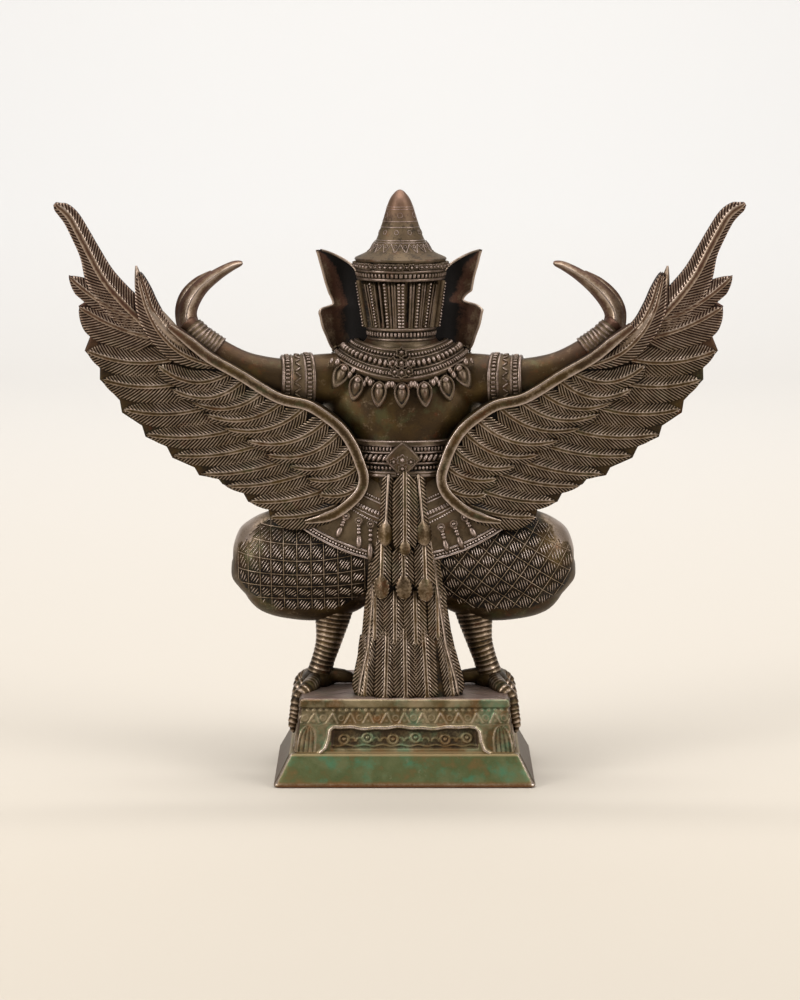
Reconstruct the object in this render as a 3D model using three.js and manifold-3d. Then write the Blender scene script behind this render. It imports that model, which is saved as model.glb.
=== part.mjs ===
// A garuda, the winged mount of southeast Asian temple art, cast in bronze in one piece with its plinth.
// It squats on the plinth with its knees out, grips the plinth's ends with its toes, and holds its arms
// and wings wide. Millimetres, +Z up. The figure faces -Y, and its left hand is towards +X.
// The origin is the middle of the plinth's underside.
import * as THREE from "three";
import { mergeVertices } from "three/addons/utils/BufferGeometryUtils.js";
import Module from "manifold-3d";

const wasm = await Module();
wasm.setup();

// Plinth: a foot sloped all round, and a block with carved faces that draws in at its ends.
const FOOT_WIDTH = 165;
const FOOT_DEPTH = 122;
const FOOT_RIM = 2.5;
const FOOT_BEVEL = 1;
const FOOT_HEIGHT = 20;
const FOOT_SLOPE_RUN = 9.5;
const BLOCK_WIDTH = 139;
const BLOCK_DEPTH = 100;
const BLOCK_HEIGHT = 35;
const END_BATTER = 9;
const FACE_BATTER = 4;
const CORNICE_HEIGHT = 4;
const CORNICE_STEP = 1.6;
const PANEL_WIDTH = 96;
const PANEL_SIDE_WIDTH = 58;
const PANEL_HEIGHT = 14;
const PANEL_SILL = 2;
const PANEL_CUT = 3;
const LINTEL = 2.4;
const FRAME_RELIEF = 1.5;
const CARVING_DEPTH = 3;
const ROSETTE_RADIUS = 3.4;
const ROSETTE_HEIGHT = 3.4;
const ROSETTE_PITCH = 15;
const TOOTH_PITCH = 8.6;
const TOOTH_HEIGHT = 7;
const TOOTH_RELIEF = 1.4;
const TOOTH_MARGIN = 4;

// Figure: its points below are written for a figure of DRAWN_HEIGHT and grow with it. They count their
// height from the figure's seat, which lies a little above the plinth.
const FIGURE_HEIGHT = 318;
const DRAWN_HEIGHT = 318;
const SEAT_LIFT = 1.8;
const LEAN = 3;
const WING_ROOT_THICKNESS = 13;
const WING_TIP_THICKNESS = 4.5;
const RIDGE_RADIUS = 3.4;
const RIDGE_RISE = 3.6;
const RIDGE_STEPS = 150;
const WING_Y = 22;
const WING_SWEEP = 12;
const WING_SWEEP_START = 60;
const WING_THIN_START = 30;
const WING_RUN = 150;
const FEATHER_RELIEF = 0.9;
const COVERT_STEP = 2;
const COVERT_END = 0.42;
const COVERT_SCALLOP = 0.03;
const TOE_RADIUS = 4.6;
const TOE_SPREAD = 28;
const CLAW_DROP = 26;
const BUCKLE_Z = 147;
const BACK_BUCKLE = [10, 4.6, 10];
const FRONT_BUCKLE = [14, 6, 12];
const COLLAR_NECK = 21;
const COLLAR_HALF_WIDTH = 44;
const COLLAR_HALF_DEPTH = 30.5;
const COLLAR_TOP_Z = 225;
const COLLAR_SIDE_Z = 211;
const COLLAR_BACK_DROP = 13;
const COLLAR_FRONT_DROP = 22;
const COLLAR_THICKNESS = 12;
const PENDANTS = 7;
const PENDANT_STEP = 20.5;
const PENDANT_LENGTH = 16;
const TORSO_SIDES = 14;
const RIBS = 9;
const RIB_STEP = 16;
const RIB_LOW_Z = 230;
const RIB_HIGH_Z = 259;
const RIB_HALF_WIDTH = 1.9;
const RIB_RELIEF = 1.6;
const FLARE_CUP = 8;
const FLARE_THICKNESS = 3.4;
const DIADEM_LEAVES = 5;
const DIADEM_STEP = 32;
const DIADEM_RADIUS = 29;
const DIADEM_Z = 266;
const DIADEM_ROOT = 8;
const DIADEM_LEAF_HEIGHT = 16;
const DIADEM_LEAF_HALF_WIDTH = 6.6;
const DIADEM_LEAF_HALF_DEPTH = 2.6;
const DIADEM_FALL = 1 / 9;
const TIER_STEP = 3;
const TIER_RELIEF = 1.7;
const TIER_NOTCH = 6;
const TAIL_LINES = 6;
const TAIL_MIDDLE = 26;
const WAIST_Z = 138;
const WAIST_HALF_WIDTH = 33;
const WAIST_Y = 25;
const WAIST_ROUND = 10;
const HEM_Z = 84;
const HEM_RISE = 20;
const HEM_HALF_WIDTH = 62;
const HEM_BACK_Y = 29.5;
const HEM_FRONT_Y = 31;
const HEM_ROUND = 5;
const HEM_RADIUS = 2.6;
const SKIRT_SWELL = 3;
const TASSEL_HALF_LENGTH = 8;
const TASSEL_RADIUS = 2.8;
const PLEATS = 4;
const PLEAT = 2;
const PLEAT_POINT = 6;
const LOINCLOTH_THICKNESS = 8;

// Limits of the clean-up after the joins: edge length, a sliver's height, and twice a face's area.
const SHORT_EDGE = 0.7;
const SLIVER = 0.02;
const LEAST_FACE = 0.004;

const PLINTH_TOP = FOOT_HEIGHT + BLOCK_HEIGHT;
const U = FIGURE_HEIGHT / DRAWN_HEIGHT;
const SIDES = [1, -1];

// A point of the figure: x to its left, y to its back, z above its seat. The casting leans a little.
function at(x, y, z) {
  return new THREE.Vector3(x * U + (LEAN * z) / DRAWN_HEIGHT, y * U, PLINTH_TOP + SEAT_LIFT + z * U);
}

const range = (n) => Array.from({ length: n }, (_, i) => i);
const mix = (a, b, t) => a + (b - a) * t;

// Rows of numbers sampled smoothly at a number of even steps, as a spline through the rows.
function smoothRows(rows, steps) {
  const columns = rows[0].length;
  return range(steps + 1).map((i) => {
    const place = (i / steps) * (rows.length - 1);
    const k = Math.min(Math.floor(place), rows.length - 2);
    const t = place - k;
    return range(columns).map((c) => {
      const p = [k - 1, k, k + 1, k + 2].map((j) => rows[Math.min(Math.max(j, 0), rows.length - 1)][c]);
      const slope0 = (p[2] - p[0]) / 2;
      const slope1 = (p[3] - p[1]) / 2;
      const rise = p[2] - p[1];
      return p[1] + t * (slope0 + t * (3 * rise - 2 * slope0 - slope1 + t * (slope0 + slope1 - 2 * rise)));
    });
  });
}

const middle = (points) =>
  points.reduce((sum, p) => sum.add(p), new THREE.Vector3()).divideScalar(points.length);

// A closed body through rings of points, one ring after another, closed at each end round the ring's middle.
function skin(rings) {
  const sides = rings[0].length;
  const faces = [];
  for (let r = 0; r < rings.length - 1; r++) {
    for (let s = 0; s < sides; s++) {
      const a = r * sides + s;
      const b = r * sides + ((s + 1) % sides);
      faces.push(a, b, b + sides, a, b + sides, a + sides);
    }
  }
  const last = (rings.length - 1) * sides;
  const [start, end] = [last + sides, last + sides + 1];
  for (let s = 0; s < sides; s++) {
    const next = (s + 1) % sides;
    faces.push(start, next, s, end, last + s, last + next);
  }
  return indexed([...rings.flat(), middle(rings[0]), middle(rings[rings.length - 1])], faces);
}

// A closed plate between two sheets of points, each a list of lines with as many points.
function plate(front, back) {
  const lines = front.length;
  const steps = front[0].length;
  const faces = [];
  const offset = lines * steps;
  const sheetPoint = (line, step) => line * steps + step;
  for (let i = 0; i < lines - 1; i++) {
    for (let j = 0; j < steps - 1; j++) {
      const [a, b, c, d] = [
        sheetPoint(i, j),
        sheetPoint(i + 1, j),
        sheetPoint(i + 1, j + 1),
        sheetPoint(i, j + 1),
      ];
      faces.push(a, b, c, a, c, d, offset + a, offset + c, offset + b, offset + a, offset + d, offset + c);
    }
  }
  const rim = [
    ...range(lines - 1).map((i) => sheetPoint(i, 0)),
    ...range(steps - 1).map((j) => sheetPoint(lines - 1, j)),
    ...range(lines - 1).map((i) => sheetPoint(lines - 1 - i, steps - 1)),
    ...range(steps - 1).map((j) => sheetPoint(0, steps - 1 - j)),
  ];
  rim.forEach((a, i) => {
    const b = rim[(i + 1) % rim.length];
    faces.push(b, a, offset + a, b, offset + a, offset + b);
  });
  return indexed([...front.flat(), ...back.flat()], faces);
}

function indexed(points, faces) {
  return solid(meshOf(points, faces));
}

// A three.js geometry from points and the list of its triangles' corners.
function meshOf(points, faces) {
  const geometry = new THREE.BufferGeometry();
  const numbers = points.flatMap((p) => [p.x, p.y, p.z]);
  geometry.setAttribute("position", new THREE.Float32BufferAttribute(numbers, 3));
  geometry.setIndex(faces);
  return geometry;
}

// A three.js geometry as a solid that can be joined and cut. A mirrored one is turned right side out.
function solid(geometry) {
  const bare = geometry.clone();
  bare.deleteAttribute("normal");
  bare.deleteAttribute("uv");
  const merged = mergeVertices(bare, 1e-3);
  const vertProperties = new Float32Array(merged.attributes.position.array);
  const build = (triVerts) => new wasm.Manifold(new wasm.Mesh({ numProp: 3, vertProperties, triVerts }));
  const made = build(new Uint32Array(merged.index.array));
  return made.volume() > 0 ? made : build(new Uint32Array(merged.index.array).reverse());
}

// A ring round a centre, from two half axes. A power over 2 squares it off.
function ring(centre, along, across, sides, power = 2) {
  return range(sides).map((i) => {
    const angle = (2 * Math.PI * i) / sides;
    const round = (v) => Math.sign(v) * Math.abs(v) ** (2 / power);
    return centre
      .clone()
      .addScaledVector(along, round(Math.cos(angle)))
      .addScaledVector(across, round(Math.sin(angle)));
  });
}

// A level ring of the figure round a centre.
function oval(centre, wide, deep, sides, power) {
  return ring(centre, new THREE.Vector3(wide * U, 0, 0), new THREE.Vector3(0, deep * U, 0), sides, power);
}

// A bent round bar through stations of { p, wide, deep }, with deep measured front to back.
function bar(stations, sides) {
  return skin(
    stations.map(({ p, wide, deep }, i) => {
      const before = stations[Math.max(i - 1, 0)].p;
      const after = stations[Math.min(i + 1, stations.length - 1)].p;
      const run = after.clone().sub(before).normalize();
      const across = new THREE.Vector3(0, 1, 0).cross(run).normalize();
      const through = run.clone().cross(across);
      return ring(p, across.multiplyScalar(wide), through.multiplyScalar(deep), sides);
    }),
  );
}

// A limb of the figure along rows of [x, y, z, radius seen from behind, radius front to back].
function limb(rows, side, sides, steps = rows.length - 1) {
  const stations = smoothRows(rows, steps).map(([x, y, z, wide, deep = wide]) => ({
    p: at(side * x, y, z),
    wide: wide * U,
    deep: deep * U,
  }));
  return bar(stations, sides);
}

// An upright part of the figure, from rows of [z, half width, half depth, y and x of its middle].
function upright(rows, sides, steps = rows.length - 1, power = 2) {
  return skin(
    smoothRows(rows, steps).map(([z, wide, deep, y, x = 0]) =>
      oval(at(x, y, z), wide, deep, sides, power),
    ),
  );
}

// A ball of the figure, from its middle [x, y, z] and its half axes [half x, half y, half z].
function ball(centre, half, side, across, high) {
  const geometry = new THREE.SphereGeometry(1, across, high);
  const middle = at(side * centre[0], centre[1], centre[2]);
  geometry.rotateX(Math.PI / 2);
  geometry.scale(half[0] * U, half[1] * U, half[2] * U);
  geometry.translate(middle.x, middle.y, middle.z);
  return solid(geometry);
}

const join = (solids) => solids.reduce((sum, one) => sum.add(one));

// A row read from a table of rows that start with their height, at any height.
function rowAt(table, z) {
  const above = table.findIndex((row) => row[0] > z);
  const k = Math.min(Math.max((above < 0 ? table.length : above) - 1, 0), table.length - 2);
  const t = (z - table[k][0]) / (table[k + 1][0] - table[k][0]);
  return table[k].slice(1).map((value, c) => mix(value, table[k + 1][c + 1], t));
}

// Torso from the seat to the neck: [z, half width, half depth, y].
const BODY = [
  [60, 26, 20, 0],
  [80, 40, 27, 2],
  [108, 43, 28, 2],
  [126, 38, 26, 3],
  [136, 35, 25, 4],
  [158, 35.5, 24, 3],
  [172, 46, 25.5, 2],
  [186, 51, 27, 0],
  [198, 51, 26, -1],
  [207, 45, 23, -1],
  [214, 33, 20, -1],
  [222, 22, 19.5, -1],
  [234, 20.5, 19.5, -1],
];

// Belt over the waist: [z, how far it stands proud], bead rows with a plain strip on top.
const BELT = [
  [137, 0],
  [138, 2.8],
  [143, 2.8],
  [144.5, 1.4],
  [146, 3.6],
  [151, 3.6],
  [152.5, 2.8],
  [157.5, 2.8],
  [158.5, 0],
];

function torso() {
  const [low, high] = [BELT[0][0], BELT[BELT.length - 1][0]];
  const belt = BELT.map(([z, proud]) => {
    const [wide, deep, y] = rowAt(BODY, z);
    return [z, wide + proud, deep + proud, y];
  });
  const rows = [...BODY.filter(([z]) => z < low), ...belt, ...BODY.filter(([z]) => z > high)];
  const [, deep, y] = rowAt(BODY, BUCKLE_Z);
  return join([
    skin(rows.map(([z, wide, half, middle]) => oval(at(0, middle, z), wide, half, TORSO_SIDES))),
    ball([0, y + deep + 1, BUCKLE_Z + 1], BACK_BUCKLE, 1, 4, 2),
    ball([0, y - deep - 1, BUCKLE_Z], FRONT_BUCKLE, 1, 4, 2),
  ]);
}

// A place on the collar, at an angle from the middle of the back and a share of the way out to its rim.
function onCollar(degrees, share, drop = 0) {
  const a = (degrees * Math.PI) / 180;
  const behind = Math.cos(a);
  const fall = (behind > 0 ? COLLAR_BACK_DROP : COLLAR_FRONT_DROP) * behind ** 2;
  const wide = mix(COLLAR_NECK, COLLAR_HALF_WIDTH, share);
  const deep = mix(COLLAR_NECK, COLLAR_HALF_DEPTH, share);
  return at(wide * Math.sin(a), deep * behind - 1, mix(COLLAR_TOP_Z, COLLAR_SIDE_Z - fall, share) - drop);
}

// Collar: a sloping cape of beadwork with a row of bud-shaped pendants under its rim.
function collar() {
  const pendants = range(PENDANTS * 2 + 1).map((i) => ({
    degrees: (i / 2 - PENDANTS / 2) * PENDANT_STEP,
    bud: i % 2 === 1,
  }));
  const infront = pendants.map(({ degrees, bud }) => ({ degrees: degrees + 180, bud }));
  const around = [...pendants, ...infront].reverse();
  const loop = (share, drop, budShare = share, budDrop = drop) =>
    around.map(({ degrees, bud }) => onCollar(degrees, bud ? budShare : share, bud ? budDrop : drop));
  return skin([
    loop(0, 0),
    loop(0.5, -1.5),
    loop(1, -1),
    loop(0.98, 2, 1.16, 5),
    loop(0.9, 3, 1.02, PENDANT_LENGTH),
    loop(0, COLLAR_THICKNESS),
  ]);
}

// Head and crown: a drum that widens upwards with bands at its ends, a low dome, and a tall cone.
const HEAD = [
  [213, 21.6, 20.8, 0],
  [218, 22.4, 21.6, 0],
  [222, 21.4, 20.6, 0],
  [223, 22.4, 21.8, 0],
  [228.6, 22.8, 22.4, -1],
  [229.8, 20.4, 20.8, -2],
  [259, 25.8, 26.2, -4],
  [260, 28, 28.4, -4],
  [272, 30, 29.6, -3],
  [273, 28, 27.6, -3],
  [278.5, 19.6, 19.4, -1],
  [283, 16.2, 16.1, 0],
  [290, 13.2, 13.2, 0],
  [302, 9.4, 9.4, 0],
  [310, 6.6, 6.6, 0],
  [314, 3.6, 3.6, 0],
  [316.2, 0.5, 0.5, 0],
];

// The drum's beaded ribs, which draw together downwards.
function ribs() {
  return range(RIBS).map((i) => {
    const angle = (((i - (RIBS - 1) / 2) * RIB_STEP) * Math.PI) / 180;
    return skin(
      [RIB_LOW_Z, RIB_HIGH_Z].map((z) => {
        const [wide, deep, y] = rowAt(HEAD, z);
        const out = new THREE.Vector3(Math.sin(angle), Math.cos(angle), 0);
        const along = new THREE.Vector3(out.y, -out.x, 0).multiplyScalar(RIB_HALF_WIDTH * U);
        const centre = at(wide * Math.sin(angle), deep * Math.cos(angle) + y, z);
        return ring(centre, along, out.multiplyScalar(RIB_RELIEF * U), 4);
      }),
    );
  });
}

// Ear flare: a two-lobed leaf, cupped behind. Rows of [z, inner x, outer x].
const FLARE = [
  [211, 22, 39.5],
  [217, 19, 45],
  [239.5, 18.5, 52],
  [243, 23, 43],
  [252, 25, 46],
  [270, 30, 50.5],
  [273.5, 38, 51.5],
  [278, 50, 53],
];

function flare(side) {
  return skin(
    FLARE.map(([z, inner, outer]) => {
      const middle = mix(inner, outer, 0.45);
      return [
        [inner, -2],
        [middle, -2 - FLARE_CUP],
        [outer, 2],
        [outer + 0.4, 2 - FLARE_THICKNESS],
        [middle, -2 - FLARE_CUP - FLARE_THICKNESS],
        [inner, -4 - FLARE_THICKNESS],
      ].map(([x, y]) => at(side * x, y, z));
    }),
  );
}

// Leaves that stand up round the diadem's front, the middle one tallest.
function diadem() {
  return range(DIADEM_LEAVES).map((i) => {
    const degrees = (i - (DIADEM_LEAVES - 1) / 2) * DIADEM_STEP;
    const a = (degrees * Math.PI) / 180;
    const tall = DIADEM_LEAF_HEIGHT - Math.abs(degrees) * DIADEM_FALL;
    const out = new THREE.Vector3(Math.sin(a), -Math.cos(a), 0);
    const along = new THREE.Vector3(Math.cos(a), Math.sin(a), 0);
    const rows = [
      [-DIADEM_ROOT, DIADEM_LEAF_HALF_WIDTH],
      [tall * 0.4, DIADEM_LEAF_HALF_WIDTH],
      [tall, 0.5],
    ];
    return skin(
      rows.map(([rise, wide]) =>
        ring(
          at(DIADEM_RADIUS * Math.sin(a), -DIADEM_RADIUS * Math.cos(a) - 3, DIADEM_Z + rise),
          along.clone().multiplyScalar(wide * U),
          out.clone().multiplyScalar(DIADEM_LEAF_HALF_DEPTH * U),
          4,
        ),
      ),
    );
  });
}

// Face of a bird: a hooked beak over a short lower one, round eyes under strong brows, full cheeks.
function face() {
  const upper = [
    [-20, 246, 11, 9],
    [-36, 246, 8.5, 7.5],
    [-47, 242, 5, 5],
    [-51.5, 234, 2.4, 2.6],
    [-51, 228.5, 0.6, 0.6],
  ];
  const lower = [
    [-20, 234, 9, 5.5],
    [-34, 232.5, 6, 3.6],
    [-44, 232.5, 1.8, 1.4],
  ];
  const beak = (rows) =>
    skin(
      rows.map(([y, z, wide, high], i) => {
        const [y0, z0] = rows[Math.max(i - 1, 0)];
        const [y1, z1] = rows[Math.min(i + 1, rows.length - 1)];
        const ahead = new THREE.Vector3(0, y1 - y0, z1 - z0).normalize();
        const up = new THREE.Vector3(1, 0, 0).cross(ahead).multiplyScalar(high * U);
        return ring(at(0, y, z), new THREE.Vector3(wide * U, 0, 0), up, 6);
      }),
    );
  const brow = [
    [3, -31.5, 254.5, 1.8],
    [10, -32, 258, 2.8],
    [20, -24, 258.5, 1.4],
  ];
  const features = SIDES.flatMap((side) => [
    ball([11, -27, 251], [5.6, 4.6, 4.6], side, 6, 4),
    ball([15.5, -20, 240.5], [7, 8, 8], side, 6, 4),
    limb(brow, side, 4),
  ]);
  return [beak(upper), beak(lower), ...features];
}

// Arm from the shoulder to the palm, with a band above the elbow and one at the wrist.
const ARM = [
  [30, 1, 194, 17, 17],
  [46, 6, 196, 16.8, 15.5],
  [56, 9, 196, 16, 14],
  [57, 9, 196, 17.4, 15.4],
  [77, 12, 196.4, 15.4, 13],
  [78, 12, 196.6, 13.8, 11.6],
  [98, 13, 203, 11.2, 10],
  [113.5, 13, 212, 9.4, 8.8],
  [114, 13, 212.4, 11, 10.2],
  [126.5, 12.6, 222.4, 9.8, 9.4],
  [127, 12.5, 222.8, 8, 8],
  [136, 11, 233, 6.6, 8],
];

function arm(side) {
  return join([limb(ARM, side, 8), ...hand(side)]);
}

// Hand: two fingers swept back and in, one before the other, and a thumb in front of them.
function hand(side) {
  const finger = [
    [134, 10, 228, 6.6],
    [135.4, 9, 237, 6],
    [133, 8, 246, 5.8],
    [127, 7, 255, 5],
    [117, 6.5, 263, 3.6],
    [108, 6, 268.3, 2.8],
    [102, 6, 269.8, 1.5],
  ];
  const outer = [
    [137, 4, 230, 4.4],
    [139.8, 1, 239, 3],
    [137.6, -1, 249, 2.8],
    [130.5, 0, 258, 2.6],
    [122, 2, 263.5, 2],
  ];
  const thumb = [
    [133, 3, 229, 4.6],
    [135, -5, 236, 4.2],
    [133, -9, 245, 3.4],
    [128, -9, 253, 1.2],
  ];
  return [limb(finger, side, 6), limb(outer, side, 4), limb(thumb, side, 5)];
}

// Thigh and folded calf, which bulge out to the side, and the scaly shank below them.
const THIGH = [
  [6, 0, 80, 24, 22],
  [30, -2, 82, 31, 27],
  [52, -2, 83, 32.5, 29],
  [74, -3, 81.5, 31.5, 28.5],
  [92, -3, 77.8, 28, 26],
  [102, -3, 75.5, 21.5, 20.5],
  [108, -3, 74.5, 12, 12],
  [110.4, -3, 74.5, 3.5, 3.5],
];
const CALF = [
  [20, -3, 64, 8, 10],
  [34, -3, 57, 12, 14],
  [50, -3, 56, 16, 18],
  [68, -4, 56.5, 16.5, 20],
  [86, -4, 59.5, 15, 18],
  [98, -4, 66, 9, 10],
];
const SHANK = [
  [43.5, -3, 54, 13, 13],
  [46, -3, 40, 11, 11],
  [48.6, -2, 26, 8.3, 8.5],
  [52.5, -2, 13, 7.4, 8],
  [56, -2, 0, 9, 11],
];
const SPUR = [
  [54, -2, 3.2, 6.4],
  [44, -1, 3.7, 5],
  [36, 0, 2.7, 4],
  [31.5, 1, -0.3, 1.6],
];

function leg(side) {
  return join([
    limb(THIGH, side, 12, 7),
    limb(CALF, side, 8),
    limb(SHANK, side, 8, 4),
    ball([56, -2, 1.2], [10.5, 15, 7], side, 6, 4),
    limb(SPUR, side, 5),
    ...[-1, 0, 1].map((place) => toe(side, place)),
  ]);
}

// Toe: it slopes down over the plinth's end and hangs down its side to a claw.
function toe(side, place) {
  const spread = place * TOE_SPREAD;
  const endAt = (drop) => blockHalf(BLOCK_HEIGHT - drop)[0];
  const stations = [
    [endAt(0) - 1.74 * TOE_RADIUS, spread * 0.2, TOE_RADIUS * 0.78, 1.2],
    [endAt(0) - 0.65 * TOE_RADIUS, spread * 0.8, TOE_RADIUS * 0.33, 1],
    [endAt(0) + 0.54 * TOE_RADIUS, spread, -TOE_RADIUS * 0.76, 0.92],
    [endAt(CLAW_DROP * 0.5) + 0.5 * TOE_RADIUS, spread, -CLAW_DROP * 0.5, 0.9],
    [endAt(CLAW_DROP * 0.8) + 0.75 * TOE_RADIUS, spread, -CLAW_DROP * 0.8, 0.62],
    [endAt(CLAW_DROP) + 0.5 * TOE_RADIUS, spread, -CLAW_DROP, 0.15],
  ];
  return bar(
    stations.map(([x, y, rise, size]) => ({
      p: new THREE.Vector3(side * x, y, PLINTH_TOP + rise),
      wide: TOE_RADIUS * size,
      deep: TOE_RADIUS * size,
    })),
    4,
  );
}

// Wing. Its ridge runs from the wrist down behind the arm to the waist and curls out over the hip.
const RIDGE = [
  [145, 232],
  [133, 222.5],
  [120, 212],
  [101, 201],
  [78, 187],
  [59, 182],
  [45, 173],
  [37, 165.5],
  [31, 156],
  [27, 146],
  [24.5, 137],
  [26, 129],
  [31.5, 122],
  [41, 114.5],
  [51, 110.5],
  [62, 108],
];
const RIDGE_PATH = smoothRows(RIDGE, RIDGE_STEPS);

// The middle of the wing's thickness lies flat by the body and sweeps back towards the tip.
function wingY(x) {
  return WING_Y + WING_SWEEP * Math.max((x - WING_SWEEP_START) / WING_RUN, 0) ** 2;
}

// Half the wing's thickness, which thins towards the tip.
function wingHalf(x) {
  const thinned = Math.min(Math.max((x - WING_THIN_START) / WING_RUN, 0), 1);
  return mix(WING_ROOT_THICKNESS, WING_TIP_THICKNESS, thinned) / 2;
}

function onRidge(share) {
  return RIDGE_PATH[Math.round(share * RIDGE_STEPS)];
}

// Feathers from the plume down: [share of the ridge at the root, tip x, tip z, sag of the quill, depth of
// the notch below the tip].
const FLIGHT = [
  [0, 214, 309.5, 6, 12],
  [0.02, 207, 264, 6, 5],
  [0.06, 201, 245, 6, 4],
  [0.1, 197, 216.5, 8, 4],
  [0.16, 188, 199, 9, 4],
  [0.22, 175, 180, 10, 4],
  [0.29, 161.5, 164, 10, 4],
  [0.36, 144.5, 150.5, 10, 4],
  [0.44, 127, 138.5, 9, 4],
  [0.53, 112, 131, 8, 4],
  [0.63, 97, 121, 7, 4],
  [0.76, 84, 111, 5, 4],
];
const PLUME_EDGE = [0, 209.5, 311, -1.5];
const WING_FOOT = [1, 78, 110, 0];

// A point on a feather's line, a share of the way from its root on the ridge to its tip.
function along([share, tipX, tipZ, sag], t) {
  const [rootX, rootZ] = onRidge(share);
  const run = new THREE.Vector2(tipX - rootX, tipZ - rootZ);
  const down = new THREE.Vector2(run.y, -run.x).normalize();
  const hang = sag * 4 * t * (1 - t);
  return [rootX + run.x * t + down.x * hang, rootZ + run.y * t + down.y * hang];
}

// The line of the notch between two feathers, which stops short of their tips.
function notchLine(upper, lower) {
  const [root, x, z, sag] = lower.map((value, i) => mix(upper[i], value, i > 0 ? 0.72 : 0.5));
  const [rootX, rootZ] = onRidge(root);
  const back = upper[4] / Math.hypot(x - rootX, z - rootZ);
  return [root, mix(x, rootX, back), mix(z, rootZ, back), sag];
}

// A wing as one folded plate: a rounded ridge, raised quills, sunk notch lines, and a step where the
// short feathers over the quills' upper halves end.
function feathers(side) {
  const lines = FLIGHT.flatMap((row, i) => {
    const below = i + 1 < FLIGHT.length ? notchLine(row, FLIGHT[i + 1]) : WING_FOOT;
    return [{ line: row, rise: 1 }, { line: below, rise: -1 }];
  });
  const all = [{ line: PLUME_EDGE, rise: 0 }, ...lines];
  const sheet = (facing) =>
    all.map(({ line, rise }) => {
      const [rootX, rootZ] = onRidge(line[0]);
      const share = RIDGE_RADIUS / Math.hypot(line[1] - rootX, line[2] - rootZ);
      const end = COVERT_END + rise * COVERT_SCALLOP;
      const steps = [
        [-share, 0.1, 0],
        [-share * 0.5, 1, RIDGE_RISE],
        [share * 0.5, 1, RIDGE_RISE],
        [share, 1, COVERT_STEP],
        [end, 1, COVERT_STEP + rise * FEATHER_RELIEF],
        [end + 0.02, 1, rise * FEATHER_RELIEF],
        [mix(end, 1, 0.35), 1, rise * FEATHER_RELIEF],
        [mix(end, 1, 0.7), 1, rise * FEATHER_RELIEF],
        [1, 0.5, rise * FEATHER_RELIEF],
      ];
      return steps.map(([t, fullness, proud]) => {
        const [x, z] = along(line, t);
        return at(side * x, wingY(x) + facing * (wingHalf(x) * fullness + proud), z);
      });
    });
  return plate(sheet(-1), sheet(1));
}

// The pointed leaf beside the wrist: rows of [x, z, half width, half depth].
const SPUR_LEAF = [
  [135, 218.5, 5.2, 3.8],
  [150, 232.5, 6.8, 3.4],
  [159.5, 246.5, 5.2, 3],
  [165.5, 270, 0.8, 0.8],
];

function wing(side) {
  const leaf = SPUR_LEAF.map(([x, z, wide, deep]) => [x, wingY(x), z, wide, deep]);
  return join([limb(leaf, side, 6), feathers(side)]);
}

// Tail: a pillar behind the legs under tiers of feathers, [z, half width, half depth, y, x]. Its foot
// stands a little to the right.
const TAIL = [
  [142, 17, 9, 20, 0],
  [96, 19, 10, 22.5, -0.3],
  [60, 23, 11, 25, -1.1],
  [30, 27, 12, 27.5, -1.8],
  [8, 33, 13, 29.5, -2.3],
  [-3, 34.8, 14, 30, -2.4],
];
const TIERS = [
  { top: 139, tip: 88 },
  { top: 88, tip: 61 },
  { top: 61, tip: 33 },
  { top: 33, tip: -1.8 },
];

// The tiers as one folded plate. Each tier's feathers lie over the gaps of the tier below.
function tail() {
  const lines = range(TAIL_LINES * 2 + 1).map((i) => {
    const across = i / TAIL_LINES - 1;
    return TIERS.flatMap(({ top, tip }, tier) => {
      const quill = (i + tier) % 2 === 1;
      const notch = (tier) => ((i + tier) % 2 === 1 ? 0 : TIER_NOTCH);
      const start = tier === 0 ? top : top + notch(tier - 1) - 0.5;
      const end = tier === TIERS.length - 1 ? tip - 1 : tip + notch(tier);
      return [start, end].map((z, k) => {
        const [wide, deep, y, x] = rowAt(TAIL, z);
        const curve = deep * Math.sqrt(Math.max(1 - across ** 4, 0.25));
        const proud = (k === 0 ? 0 : TIER_STEP) + (quill ? TIER_RELIEF : 0);
        return [x + across * wide, y + curve + proud, z];
      });
    });
  });
  const outer = lines.map((line) => line.map(([x, y, z]) => at(x, y, z)));
  const inner = lines.map((line) => line.map(([x, , z]) => at(x, TAIL_MIDDLE, z)));
  return join([upright(TAIL, 10, 5, 3), plate(inner, outer)]);
}

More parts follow.
